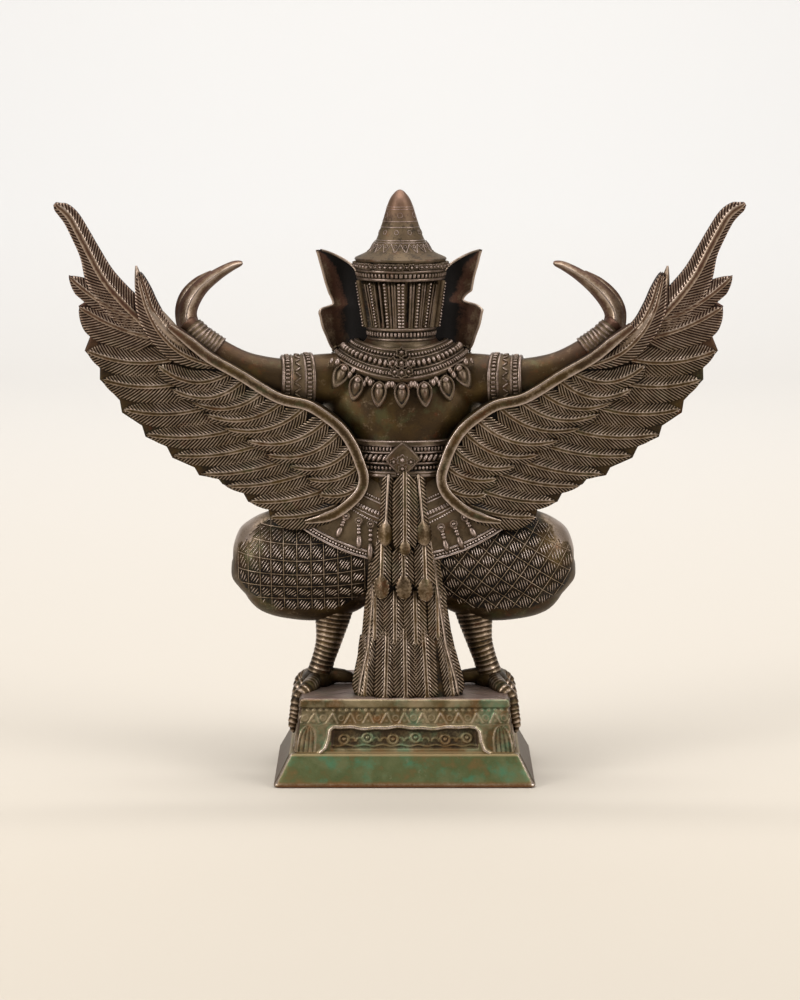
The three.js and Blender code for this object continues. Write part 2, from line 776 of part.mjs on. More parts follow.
// Skirt: a cloth drawn tight over the hips from the belt, with a beaded hem that falls to the middle.
function skirt(facing, tassels) {
  const across = range(7).map((i) => i / 3 - 1);
  const out = (u) => (facing > 0 ? HEM_BACK_Y - HEM_ROUND * u ** 4 : HEM_FRONT_Y - HEM_ROUND * u * u);
  const hem = (u) => [HEM_HALF_WIDTH * u, facing * out(u), HEM_Z + HEM_RISE * u * u];
  const belt = (u) => [WAIST_HALF_WIDTH * u, facing * (WAIST_Y - WAIST_ROUND * u * u) + 2, WAIST_Z];
  const between = (u, t) => range(3).map((c) => mix(belt(u)[c], hem(u)[c], t));
  const sheet = (sink) =>
    across.map((u) =>
      [0, 0.5, 1].map((t) => {
        const [x, y, z] = between(u, t);
        return at(x, y + (SKIRT_SWELL * Math.sin(Math.PI * t) - sink) * facing, z);
      }),
    );
  const beads = across.map((u) => {
    const [x, y, z] = hem(u);
    return { p: at(x, y, z), wide: HEM_RADIUS * U, deep: HEM_RADIUS * U };
  });
  const hanging = SIDES.flatMap((side) =>
    range(tassels).map((i) => {
      const [x, y, z] = between(0.42 + 0.14 * i, 0.62);
      const rows = [
        [x - 2, y + 2.2 * facing, z + TASSEL_HALF_LENGTH, TASSEL_RADIUS * 0.86],
        [x, y + 3 * facing, z, TASSEL_RADIUS],
        [x + 2.5, y + 1.6 * facing, z - TASSEL_HALF_LENGTH, TASSEL_RADIUS * 0.36],
      ];
      return limb(rows, side, 4);
    }),
  );
  return join([plate(sheet(HEM_RADIUS * 3), sheet(0)), bar(beads, 4), ...hanging]);
}

// Loincloth: a pleated panel that hangs in front from the belt. Rows of [z, half width, y in front].
const LOINCLOTH = [
  [140, 12, 27],
  [118, 13, 33],
  [88, 15, 34.5],
  [58, 17, 30],
  [34, 20, 27],
  [24, 21, 26],
];

function loincloth() {
  return skin(
    LOINCLOTH.map(([z, wide, out], row) => {
      const pointed = row === LOINCLOTH.length - 1 ? PLEAT_POINT : 0;
      const pleats = range(2 * PLEATS + 1).map((i) => {
        const share = i / PLEATS - 1;
        const rise = pointed * Math.abs(Math.abs(share) - 0.5);
        return at(share * wide, -out - (i % 2 ? PLEAT : 0), z + rise);
      });
      const inner = LOINCLOTH_THICKNESS - out;
      return [...pleats, at(wide, inner, z), at(-wide, inner, z)];
    }),
  );
}

// A frustum between two plans of corners, at their heights.
function stack(plans) {
  return skin(plans.map(({ corners, z }) => corners.map(([x, y]) => new THREE.Vector3(x, y, z))));
}

// The plinth's foot, sloped all round.
function plinthFoot() {
  const plan = (inset, z) => {
    const [x, y] = [FOOT_WIDTH / 2 - inset, FOOT_DEPTH / 2 - inset];
    return { corners: [[x, -y], [x, y], [-x, y], [-x, -y]], z };
  };
  return stack([plan(FOOT_BEVEL, 0), plan(0, FOOT_RIM), plan(FOOT_SLOPE_RUN, FOOT_HEIGHT)]);
}

// The block's half width and half depth at a height above the foot.
function blockHalf(z) {
  const share = z / BLOCK_HEIGHT;
  return [(BLOCK_WIDTH - END_BATTER * share) / 2, (BLOCK_DEPTH - FACE_BATTER * share) / 2];
}

function plinthBlock() {
  const plan = (z, out) => {
    const [x, y] = blockHalf(z).map((half) => half + out);
    return { corners: [[x, -y], [x, y], [-x, y], [-x, -y]], z: FOOT_HEIGHT + z };
  };
  const under = BLOCK_HEIGHT - CORNICE_HEIGHT;
  return stack([
    plan(-1, 0),
    plan(under, 0),
    plan(under + 0.3 * CORNICE_HEIGHT, CORNICE_STEP),
    plan(under + 0.7 * CORNICE_HEIGHT, CORNICE_STEP),
    plan(BLOCK_HEIGHT, 0),
  ]);
}

// The lintel over a panel and the legs that splay under it to the sill.
function frameShape(panelWidth) {
  const [inner, outer] = [panelWidth / 2, panelWidth / 2 + LINTEL];
  const shape = new THREE.Shape();
  shape.moveTo(-outer - LINTEL, -PANEL_SILL);
  shape.lineTo(-outer, PANEL_HEIGHT + LINTEL);
  shape.lineTo(outer, PANEL_HEIGHT + LINTEL);
  shape.lineTo(outer + LINTEL, -PANEL_SILL);
  shape.lineTo(outer, -PANEL_SILL);
  shape.lineTo(inner, PANEL_HEIGHT);
  shape.lineTo(-inner, PANEL_HEIGHT);
  shape.lineTo(-outer, -PANEL_SILL);
  return shape;
}

// A row of pointed teeth on a thin strip.
function teethShape(width) {
  const teeth = Math.floor((width - 2 * TOOTH_MARGIN) / TOOTH_PITCH);
  const end = (teeth / 2) * TOOTH_PITCH;
  const shape = new THREE.Shape();
  shape.moveTo(-end, -1);
  range(teeth).forEach((i) => {
    const start = i * TOOTH_PITCH - end;
    shape.lineTo(start, 0);
    shape.lineTo(start + TOOTH_PITCH / 2, TOOTH_HEIGHT);
  });
  shape.lineTo(end, 0);
  shape.lineTo(end, -1);
  return shape;
}

// What is cut into and added to one side of the block. The side is drawn upright at y = 0 with the foot's
// top at z = 0, then leant back with the block's batter, moved out to the face and turned.
function carvedSide(width, panelWidth, half, batter, turn) {
  const placed = (geometry, x, y, z) => {
    geometry.translate(x, y, z);
    geometry.rotateX(-Math.atan(batter / 2 / BLOCK_HEIGHT));
    geometry.translate(0, -half, FOOT_HEIGHT);
    geometry.rotateZ(turn);
    return solid(geometry);
  };
  const carved = (shape, relief, z) => {
    const geometry = new THREE.ExtrudeGeometry(shape, { depth: CARVING_DEPTH, bevelEnabled: false });
    geometry.rotateX(Math.PI / 2);
    return placed(geometry, 0, CARVING_DEPTH - relief, z);
  };
  const middle = PANEL_SILL + PANEL_HEIGHT / 2;
  const cut = placed(new THREE.BoxGeometry(panelWidth, 2 * PANEL_CUT, PANEL_HEIGHT), 0, 0, middle);
  const added = [
    carved(frameShape(panelWidth), FRAME_RELIEF, PANEL_SILL),
    carved(teethShape(width), TOOTH_RELIEF, PANEL_SILL + PANEL_HEIGHT + LINTEL),
  ];
  const gaps = Math.floor((panelWidth - 2 * ROSETTE_RADIUS) / ROSETTE_PITCH);
  const rosettes = turn % Math.PI === 0 ? gaps + 1 : 0;
  range(rosettes).forEach((i) => {
    const flower = new THREE.ConeGeometry(ROSETTE_RADIUS, ROSETTE_HEIGHT, 5);
    flower.rotateX(Math.PI / 2);
    added.push(placed(flower, (i - gaps / 2) * ROSETTE_PITCH, PANEL_CUT - 1, middle));
  });
  return { cut, added };
}

function plinth() {
  const [halfWidth, halfDepth] = blockHalf(0);
  const faces = range(4).map((i) => {
    const turn = (i * Math.PI) / 2;
    return i % 2 === 0
      ? carvedSide(BLOCK_WIDTH, PANEL_WIDTH, halfDepth, FACE_BATTER, turn)
      : carvedSide(BLOCK_DEPTH, PANEL_SIDE_WIDTH, halfWidth, END_BATTER, turn);
  });
  const plain = join([plinthFoot(), plinthBlock()]);
  const cut = faces.reduce((body, one) => body.subtract(one.cut), plain);
  return join([cut, ...faces.flatMap((one) => one.added)]);
}

function figure() {
  return join([
    torso(),
    collar(),
    upright(HEAD, 14),
    ...ribs(),
    ...diadem(),
    ...face(),
    ...SIDES.flatMap((side) => [flare(side), arm(side), leg(side), wing(side)]),
    tail(),
    skirt(1, 3),
    skirt(-1, 0),
    loincloth(),
  ]);
}

// The casting's outer skin as a three.js geometry. Pockets shut in where its forms meet are solid metal,
// and the short edges and flat slivers that the joins leave are closed up.
function outerSkin(body) {
  const mesh = body.getMesh();
  const points = range(mesh.vertProperties.length / 3).map((i) =>
    new THREE.Vector3().fromArray(mesh.vertProperties, 3 * i),
  );
  const all = range(mesh.triVerts.length / 3).map((i) => Array.from(mesh.triVerts.slice(3 * i, 3 * i + 3)));
  const skinFaces = cleaned(points, outwardShells(points, all));
  return meshOf(points, skinFaces.flat());
}

// The triangles of the shells that face outwards.
function outwardShells(points, triangles) {
  const parent = range(points.length);
  const root = (start) => {
    let i = start;
    while (parent[i] !== i) {
      parent[i] = parent[parent[i]];
      i = parent[i];
    }
    return i;
  };
  triangles.forEach(([a, b, c]) => {
    parent[root(b)] = root(a);
    parent[root(c)] = root(a);
  });
  const volume = new Map();
  const cross = new THREE.Vector3();
  triangles.forEach(([a, b, c]) => {
    const more = points[a].dot(cross.crossVectors(points[b], points[c]));
    volume.set(root(a), (volume.get(root(a)) ?? 0) + more);
  });
  return triangles.filter(([a]) => volume.get(root(a)) > 0);
}

// Twice the area vector of a triangle.
function areaVector(p, q, r) {
  return new THREE.Vector3().crossVectors(q.clone().sub(p), r.clone().sub(p));
}

// Draws each short edge together and turns the long edge of each flat sliver, where the skin stays
// closed and no face turns over.
function cleaned(points, triangles) {
  const faces = triangles.map((face) => [...face]);
  const around = new Map();
  const link = (face) => face.forEach((v) => around.set(v, (around.get(v) ?? new Set()).add(face)));
  const unlink = (face) => face.forEach((v) => around.get(v).delete(face));
  const dead = new Set();
  faces.forEach(link);
  const neighbours = (v) => new Set([...around.get(v)].flat().filter((w) => w !== v));
  const keepsFacing = (before, after) => {
    const [was, is] = [before, after].map(([a, b, c]) => areaVector(points[a], points[b], points[c]));
    return was.dot(is) > 0.3 * was.length() * is.length() && is.length() > LEAST_FACE;
  };

  const drawTogether = (keep, lose) => {
    const near = neighbours(keep);
    const shared = [...neighbours(lose)].filter((v) => near.has(v));
    const moving = [...around.get(lose)].filter((face) => !face.includes(keep));
    const moved = moving.map((face) => face.map((v) => (v === lose ? keep : v)));
    if (shared.length !== 2 || !moving.every((face, i) => keepsFacing(face, moved[i]))) return false;
    [...around.get(lose)].forEach((face) => {
      unlink(face);
      dead.add(face);
    });
    moved.forEach((face) => {
      faces.push(face);
      link(face);
    });
    return true;
  };

  const height = (face) => {
    const [a, b, c] = face.map((v) => points[v]);
    return areaVector(a, b, c).length() / Math.max(a.distanceTo(b), b.distanceTo(c), c.distanceTo(a));
  };

  const turnEdge = (face, corner) => {
    const [c, a, b] = [face[corner], face[(corner + 1) % 3], face[(corner + 2) % 3]];
    const other = [...around.get(a)].find((one) => one !== face && one.includes(b));
    const d = other.find((v) => v !== a && v !== b);
    if (neighbours(c).has(d)) return false;
    const made = [
      [c, a, d],
      [c, d, b],
    ];
    if (!made.every((one) => keepsFacing(other, one) && height(one) > 1.5 * height(face))) return false;
    [face, other].forEach((one) => {
      unlink(one);
      dead.add(one);
    });
    made.forEach((one) => {
      faces.push(one);
      link(one);
    });
    return true;
  };

  for (let i = 0; i < faces.length; i++) {
    const face = faces[i];
    if (dead.has(face)) continue;
    const edges = [0, 1, 2].map((k) => points[face[k]].distanceTo(points[face[(k + 1) % 3]]));
    const shortest = edges.indexOf(Math.min(...edges));
    const [p, q] = [face[shortest], face[(shortest + 1) % 3]];
    if (edges[shortest] < SHORT_EDGE && (drawTogether(p, q) || drawTogether(q, p))) continue;
    const longest = edges.indexOf(Math.max(...edges));
    if (height(face) < SLIVER) turnEdge(face, (longest + 2) % 3);
  }
  return faces.filter((face) => !dead.has(face));
}

const bronze = new THREE.MeshStandardMaterial({ color: 0x5a4a38, roughness: 0.42, metalness: 0.85 });
const casting = new THREE.Mesh(outerSkin(join([plinth(), figure()])), bronze);
casting.name = "garuda_casting";

const group = new THREE.Group();
group.add(casting);
export default group;
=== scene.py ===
# %% [markdown]
# A garuda in cast bronze. The bird-man of southeast Asian temple art squats on its plinth with arms and
# wings spread, and is seen from behind, where its wings, tail and crown show best. The real one is a single
# lost-wax casting: a wax model is built up, carved and set with wax beads, and bronze takes its place.
# The script works the same way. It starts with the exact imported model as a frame, builds soft forms,
# lays carved feathers and ornaments over them, and ends with the colour of old bronze.

# %% Load the frame
import math
from collections import namedtuple

import bpy
import numpy as np
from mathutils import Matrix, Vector
from mathutils.bvhtree import BVHTree


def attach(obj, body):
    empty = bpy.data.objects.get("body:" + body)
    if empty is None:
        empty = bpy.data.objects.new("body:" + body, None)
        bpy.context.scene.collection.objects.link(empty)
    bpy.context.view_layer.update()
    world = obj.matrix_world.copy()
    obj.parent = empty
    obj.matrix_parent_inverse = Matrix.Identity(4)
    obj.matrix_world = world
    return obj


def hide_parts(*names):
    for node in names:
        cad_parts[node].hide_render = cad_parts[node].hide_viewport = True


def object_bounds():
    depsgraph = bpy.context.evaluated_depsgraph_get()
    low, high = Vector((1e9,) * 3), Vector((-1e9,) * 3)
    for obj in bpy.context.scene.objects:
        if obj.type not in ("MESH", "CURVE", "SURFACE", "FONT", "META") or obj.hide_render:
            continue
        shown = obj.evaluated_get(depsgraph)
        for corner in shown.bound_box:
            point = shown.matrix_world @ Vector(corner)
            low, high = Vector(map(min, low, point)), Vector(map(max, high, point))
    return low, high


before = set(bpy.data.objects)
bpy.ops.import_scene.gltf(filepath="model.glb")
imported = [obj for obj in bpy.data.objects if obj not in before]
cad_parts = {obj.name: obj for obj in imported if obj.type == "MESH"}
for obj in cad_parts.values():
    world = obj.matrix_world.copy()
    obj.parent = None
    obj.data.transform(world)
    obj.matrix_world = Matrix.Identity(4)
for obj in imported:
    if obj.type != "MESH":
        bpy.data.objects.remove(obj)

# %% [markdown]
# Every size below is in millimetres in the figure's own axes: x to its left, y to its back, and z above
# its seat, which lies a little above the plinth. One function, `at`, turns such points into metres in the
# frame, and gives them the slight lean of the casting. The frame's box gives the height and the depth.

scene = bpy.context.scene
cad_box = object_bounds()
MM = 0.001
PLINTH_TOP = 55
SEAT_LIFT = 1.8
LEAN = 3
DRAWN_HEIGHT = 318
DRAWN_TIP = 316.2
NODE = "garuda_casting"
SIDES = (1, -1)
BACK, FRONT = 1, -1
GROWTH = (cad_box[1].z / MM - PLINTH_TOP - SEAT_LIFT) / DRAWN_TIP
PLINTH_DEPTH = (cad_box[1].y - cad_box[0].y) / MM


def at(x, y, z):
    x, y, z = np.broadcast_arrays(*(np.asarray(v, float) for v in (x, y, z)))
    leaned = x * GROWTH + LEAN * z / DRAWN_HEIGHT
    return np.stack([leaned, y * GROWTH, PLINTH_TOP + SEAT_LIFT + z * GROWTH], -1) * MM


print("figure height", round(GROWTH * DRAWN_TIP, 1), "mm, plinth depth", round(PLINTH_DEPTH, 1), "mm")

# %% [markdown]
# A shape is held as plain arrays until it is finished: points, faces of four and of three corners, and a
# number called relief for each point. Relief says how proud the point stands, from 0 in a groove to 1 on an
# edge that hands rub. The bronze material reads it to lay dirt in the grooves and to polish the edges.

# %% Shapes as arrays
Shape = namedtuple("Shape", "points quads triangles relief")


def shape_of(points, quads, triangles, relief=0.5):
    points = np.asarray(points, float).reshape(-1, 3)
    relief = np.broadcast_to(np.asarray(relief, float), (len(points),))
    quads = np.asarray(quads, int).reshape(-1, 4)
    triangles = np.asarray(triangles, int).reshape(-1, 3)
    return Shape(points, quads, triangles, relief)


def join(shapes):
    starts = np.cumsum([0] + [len(s.points) for s in shapes])
    return Shape(
        np.concatenate([s.points for s in shapes]),
        np.concatenate([s.quads + start for s, start in zip(shapes, starts)]),
        np.concatenate([s.triangles + start for s, start in zip(shapes, starts)]),
        np.concatenate([s.relief for s in shapes]),
    )


def all_triangles(shape):
    q = shape.quads
    return np.concatenate([q[:, [0, 1, 2]], q[:, [0, 2, 3]], shape.triangles])


def tell(name, shape):
    print(name + ":", len(all_triangles(shape)), "triangles")


# Joins shapes and draws their relief down towards a floor, as dust does on beadwork.
def dulled(shapes, share, least=0.0):
    whole = join(shapes)
    return whole._replace(relief=least + whole.relief * share)


def outward(shape):
    a, b, c = (shape.points[all_triangles(shape)[:, i]] for i in range(3))
    if np.einsum("ij,ij->", a, np.cross(b, c)) > 0:
        return shape
    return shape._replace(quads=shape.quads[:, ::-1], triangles=shape.triangles[:, ::-1])


# %% [markdown]
# Most forms are lofts: rings of points joined one to the next, with a cap at each end. `smooth_rows` runs a
# spline through a few rows of sizes, so that a limb needs only as many rows as it has changes of shape.
# Relief is given for each point, for each ring as a column, or for each place round the rings as a row.

# %% Lofts, limbs and plates
def smooth_rows(rows, steps):
    rows = np.asarray(rows, float)
    place = np.linspace(0, len(rows) - 1, steps + 1)
    k = np.minimum(place.astype(int), len(rows) - 2)
    t = (place - k)[:, None]
    p0, p1, p2, p3 = (rows[np.clip(k + i, 0, len(rows) - 1)] for i in (-1, 0, 1, 2))
    slope0, slope1, rise = (p2 - p0) / 2, (p3 - p1) / 2, p2 - p1
    return p1 + t * (slope0 + t * (3 * rise - 2 * slope0 - slope1 + t * (slope0 + slope1 - 2 * rise)))


def row_at(table, z):
    table = np.asarray(table, float)
    order = np.argsort(table[:, 0])
    return [np.interp(z, table[order, 0], table[order, c]) for c in range(1, table.shape[1])]


def loft(rings, relief=0.5):
    rings = np.asarray(rings, float)
    count, sides, _ = rings.shape
    index = np.arange(count * sides).reshape(count, sides)
    near, far = index[:-1], index[1:]
    quads = np.stack([near, np.roll(near, -1, 1), np.roll(far, -1, 1), far], -1)
    ends = [rings[0].mean(0), rings[-1].mean(0)]
    first, last = count * sides, count * sides + 1
    caps = [[first, b, a] for a, b in zip(index[0], np.roll(index[0], -1))]
    caps += [[last, a, b] for a, b in zip(index[-1], np.roll(index[-1], -1))]
    relief = np.broadcast_to(np.asarray(relief, float), (count, sides))
    tone = np.concatenate([relief.ravel(), [relief[0].mean(), relief[-1].mean()]])
    return outward(shape_of(np.concatenate([rings.reshape(-1, 3), ends]), quads, caps, tone))


def soft_step(value, low, high):
    t = np.clip((value - low) / (high - low), 0, 1)
    return t * t * (3 - 2 * t)


def hump(distance, radius):
    return np.clip(1 - (distance / radius) ** 2, 0, 1)


def superellipse(sides, power=2.0):
    angle = 2 * np.pi * np.arange(sides) / sides
    return [np.sign(f) * np.abs(f) ** (2 / power) for f in (np.cos(angle), np.sin(angle))]


def bar(points, wide, deep, sides=16, power=2.0, relief=0.5, section=None):
    points = np.asarray(points, float)
    run = np.gradient(points, axis=0)
    run /= np.linalg.norm(run, axis=1, keepdims=True)
    across = np.cross([0, 1, 0], run)
    across /= np.linalg.norm(across, axis=1, keepdims=True)
    through = np.cross(run, across)
    c, s = superellipse(sides, power) if section is None else section
    wide, deep = (np.asarray(v, float)[:, None, None] * MM for v in (wide, deep))
    rings = points[:, None] + across[:, None] * wide * np.asarray(c)[None, :, None]
    return loft(rings + through[:, None] * deep * np.asarray(s)[None, :, None], relief)


def limb(rows, side, sides=36, steps=70, power=2.0, relief=0.5, section=None):
    rows = smooth_rows(rows, steps)
    deep = rows[:, 4] if rows.shape[1] > 4 else rows[:, 3]
    return bar(at(side * rows[:, 0], rows[:, 1], rows[:, 2]), rows[:, 3], deep, sides, power, relief, section)


def upright(rows, sides=72, steps=80, power=2.0, relief=0.5):
    rows = smooth_rows(rows, steps)
    c, s = superellipse(sides, power)
    z, wide, deep, y = (rows[:, i, None] for i in range(4))
    middle = rows[:, 4, None] if rows.shape[1] > 4 else 0
    return loft(at(middle + wide * c, y + deep * s, z), relief)


def ball(centre, half, side=1, sides=24, relief=0.6):
    latitude = np.linspace(-np.pi / 2, np.pi / 2, sides // 2 + 1)[1:-1, None]
    c, s = superellipse(sides)
    x = side * centre[0] + half[0] * np.cos(latitude) * c
    y = centre[1] + half[1] * np.cos(latitude) * s
    return loft(at(x, y, centre[2] + half[2] * np.sin(latitude)), relief)


def plate(front, back, relief=0.3):
    lines, steps = front.shape[:2]
    index = np.arange(lines * steps).reshape(lines, steps)
    face = np.stack([index[:-1, :-1], index[1:, :-1], index[1:, 1:], index[:-1, 1:]], -1).reshape(-1, 4)
    rim = np.concatenate([index[:-1, 0], index[-1, :-1], index[:0:-1, -1], index[0, :0:-1]])
    following = np.roll(rim, -1)
    offset = lines * steps
    wall = np.stack([following, rim, rim + offset, following + offset], -1)
    quads = np.concatenate([face, face[:, ::-1] + offset, wall])
    return outward(shape_of(np.concatenate([front.reshape(-1, 3), back.reshape(-1, 3)]), quads, [], relief))


print("lofts ready; a spline of", len(smooth_rows([[0], [1]], 10)), "stations through two rows")

# %% [markdown]
# Bronze flows, so arms, shoulders and thighs run into each other with soft hollows, not hard seams. Here
# the raw lofts are melted together: a voxel remesh makes one skin of them, and a few passes of smoothing
# that alternate inwards and outwards (Taubin's method) round the seams without shrinking the form.

# %% Melting lofts into one skin
def as_mesh(name, shape):
    mesh = bpy.data.meshes.new(name)
    corners = np.concatenate([shape.quads.ravel(), shape.triangles.ravel()])
    sizes = np.concatenate([np.full(len(shape.quads), 4), np.full(len(shape.triangles), 3)])
    mesh.vertices.add(len(shape.points))
    mesh.vertices.foreach_set("co", shape.points.ravel())
    mesh.loops.add(len(corners))
    mesh.loops.foreach_set("vertex_index", corners)
    mesh.polygons.add(len(sizes))
    mesh.polygons.foreach_set("loop_start", np.concatenate([[0], np.cumsum(sizes)[:-1]]))
    mesh.update(calc_edges=True)
    tone = mesh.attributes.new("relief", "FLOAT", "POINT")
    tone.data.foreach_set("value", shape.relief.astype(np.float32))
    mesh.shade_smooth()
    return mesh


def as_shape(mesh, relief=0.5):
    points = np.zeros(len(mesh.vertices) * 3)
    mesh.vertices.foreach_get("co", points)
    corners = np.zeros(len(mesh.loops), int)
    mesh.loops.foreach_get("vertex_index", corners)
    sizes = np.zeros(len(mesh.polygons), int)
    mesh.polygons.foreach_get("loop_total", sizes)
    starts = np.concatenate([[0], np.cumsum(sizes)[:-1]])
    quads = corners[starts[sizes == 4][:, None] + np.arange(4)]
    triangles = corners[starts[sizes == 3][:, None] + np.arange(3)]
    if "relief" in mesh.attributes:
        relief = np.zeros(len(mesh.vertices), np.float32)
        mesh.attributes["relief"].data.foreach_get("value", relief)
    return shape_of(points, quads, triangles, relief)


def evaluated(thing):
    return bpy.data.meshes.new_from_object(thing.evaluated_get(bpy.context.evaluated_depsgraph_get()))


def smoothed(shape, passes, ease=0.5, swell=0.52):
    quads = shape.quads
    edges = np.unique(np.sort(np.concatenate([quads[:, [i, (i + 1) % 4]] for i in range(4)])), axis=0)
    a, b = np.concatenate([edges, edges[:, ::-1]]).T
    degree = np.bincount(a, minlength=len(shape.points))[:, None]
    points = shape.points.copy()
    for step in range(2 * passes):
        around = np.stack([np.bincount(a, points[b, i], len(points)) for i in range(3)], -1) / degree
        points += (ease if step % 2 == 0 else -swell) * (around - points)
    return shape._replace(points=points)


def melted(shapes, voxel, passes, relief=0.5):
    thing = bpy.data.objects.new("wax", as_mesh("wax", join(shapes)))
    scene.collection.objects.link(thing)
    remesh = thing.modifiers.new("remesh", "REMESH")
    remesh.mode = "VOXEL"
    remesh.voxel_size = voxel * MM
    skin = as_shape(evaluated(thing), relief)
    bpy.data.objects.remove(thing)
    return smoothed(skin, passes)


print("melting ready")

# %% [markdown]
# The wax modeller rolls beads and threads and presses them on in rows. Two Geometry Nodes trees do the same.
# `set_out` sets a small ornament on each point of a row, turned to face out of the surface, with a slight
# change of size from one to the next. `cord` sweeps a round thread along lines. Both end in real faces.

# %% Trees for beads and threads
def add(tree, kind, settings=None, inputs=None):
    node = tree.nodes.new(kind)
    for name, value in (settings or {}).items():
        setattr(node, name, value)
    for name, value in (inputs or {}).items():
        if isinstance(value, bpy.types.NodeSocket):
            tree.links.new(value, node.inputs[name])
        else:
            node.inputs[name].default_value = value
    return node


def new_tree(name, sockets):
    tree = bpy.data.node_groups.new(name, "GeometryNodeTree")
    tree.interface.new_socket("Geometry", in_out="OUTPUT", socket_type="NodeSocketGeometry")
    for label, kind in {"Geometry": "Geometry", **sockets}.items():
        tree.interface.new_socket(label, in_out="INPUT", socket_type="NodeSocket" + kind)
    return tree, add(tree, "NodeGroupInput").outputs


def close_tree(tree, geometry, finish):
    done = add(tree, "GeometryNodeSetMaterial", inputs={"Geometry": geometry, "Material": finish})
    add(tree, "NodeGroupOutput", inputs={"Geometry": done.outputs["Geometry"]})
    return tree


def named(tree, name):
    settings = {"data_type": "FLOAT_VECTOR"}
    return add(tree, "GeometryNodeInputNamedAttribute", settings, {"Name": name}).outputs["Attribute"]


# The random value has sockets for every kind of number, and only those of its own kind are enabled.
def set_out_tree():
    sockets = {"Ornament": "Object", "Variation": "Float", "Seed": "Int", "Finish": "Material"}
    tree, given = new_tree("set_out", sockets)
    axes = {"Primary Axis": named(tree, "facing"), "Secondary Axis": named(tree, "upward")}
    turned = add(tree, "FunctionNodeAxesToRotation", {"primary_axis": "Z", "secondary_axis": "X"}, axes)
    low = add(tree, "ShaderNodeMath", {"operation": "SUBTRACT"}, {0: 1.0, 1: given["Variation"]})
    high = add(tree, "ShaderNodeMath", {"operation": "ADD"}, {0: 1.0, 1: given["Variation"]})
    spread = {"Min": low.outputs[0], "Max": high.outputs[0], "Seed": given["Seed"]}
    chance = add(tree, "FunctionNodeRandomValue", {"data_type": "FLOAT"})
    enabled = {socket.name: socket for socket in chance.inputs if socket.enabled}
    for name, value in spread.items():
        tree.links.new(value, enabled[name])
    amount = next(socket for socket in chance.outputs if socket.enabled)
    size = named(tree, "size")
    scale = add(tree, "ShaderNodeVectorMath", {"operation": "SCALE"}, {0: size, "Scale": amount})
    shape = add(tree, "GeometryNodeObjectInfo", inputs={"Object": given["Ornament"], "As Instance": True})
    chosen = {
        "Points": given["Geometry"],
        "Instance": shape.outputs["Geometry"],
        "Rotation": turned.outputs["Rotation"],
        "Scale": scale.outputs["Vector"],
    }
    placed = add(tree, "GeometryNodeInstanceOnPoints", inputs=chosen)
    real = add(tree, "GeometryNodeRealizeInstances", inputs={"Geometry": placed.outputs["Instances"]})
    return close_tree(tree, real.outputs["Geometry"], given["Finish"])


def cord_tree():
    sockets = {"Radius": "Float", "Sides": "Int", "Relief": "Float", "Finish": "Material"}
    tree, given = new_tree("cord", sockets)
    path = add(tree, "GeometryNodeMeshToCurve", inputs={"Mesh": given["Geometry"]})
    circle = {"Radius": given["Radius"], "Resolution": given["Sides"]}
    profile = add(tree, "GeometryNodeCurvePrimitiveCircle", {"mode": "RADIUS"}, circle)
    swept = {"Curve": path.outputs["Curve"], "Profile Curve": profile.outputs["Curve"], "Fill Caps": True}
    tube = add(tree, "GeometryNodeCurveToMesh", inputs=swept)
    stored = {"Geometry": tube.outputs["Mesh"], "Name": "relief", "Value": given["Relief"]}
    toned = add(tree, "GeometryNodeStoreNamedAttribute", {"data_type": "FLOAT", "domain": "POINT"}, stored)
    real = add(tree, "GeometryNodeRealizeInstances", inputs={"Geometry": toned.outputs["Geometry"]})
    return close_tree(tree, real.outputs["Geometry"], given["Finish"])


SET_OUT = set_out_tree()
CORD = cord_tree()
print("trees ready, with", len(SET_OUT.nodes), "and", len(CORD.nodes), "nodes")

# %% [markdown]
# A tree works on a host, a bare mesh of points and edges that carries the ways to face. The inputs are set
# by their identifiers before the host is evaluated. What comes out is kept as a plain shape.

# %% Running the trees
BRONZE = bpy.data.materials.new("old cast bronze")


def run_tree(tree, points, edges, attributes, values):
    host = bpy.data.meshes.new("host")
    host.from_pydata(np.asarray(points).tolist(), edges, [])
    for name, rows in attributes.items():
        data = host.attributes.new(name, "FLOAT_VECTOR", "POINT").data
        data.foreach_set("vector", np.broadcast_to(rows, (len(points), 3)).astype(np.float32).ravel())
    thing = bpy.data.objects.new("host", host)
    scene.collection.objects.link(thing)
    modifier = thing.modifiers.new("tree", "NODES")
    modifier.node_group = tree
    for item in tree.interface.items_tree:
        if item.in_out == "INPUT" and item.name in values:
            modifier[item.identifier] = values[item.name]
    made = as_shape(evaluated(thing))
    bpy.data.objects.remove(thing)
    return made


def set_out(points, facing, upward, size, ornament, variation=0.06, seed=3):
    attributes = {"facing": facing, "upward": upward, "size": size}
    values = {"Ornament": ornament, "Variation": variation, "Seed": seed, "Finish": BRONZE}
    return run_tree(SET_OUT, points, [], attributes, values)


def cord(lines, radius, tone=0.95, sides=8):
    points = np.concatenate(lines)
    starts = np.cumsum([0] + [len(line) for line in lines])
    edges = [(i, i + 1) for a, b in zip(starts, starts[1:]) for i in range(a, b - 1)]
    values = {"Radius": radius * MM, "Sides": sides, "Relief": tone, "Finish": BRONZE}
    return run_tree(CORD, points, edges, {}, values)


print("the trees' finish:", BRONZE.name)

# %% [markdown]
# The ornaments are modelled once, one millimetre across and facing up, so a size in millimetres scales them:
# a round bead, a squared bead, a carved stroke, a rosette of petals round a bead, and a bud with a raised
# rim. Each is a few rows from its foot to its top: radius or share of the outline, height, and relief.

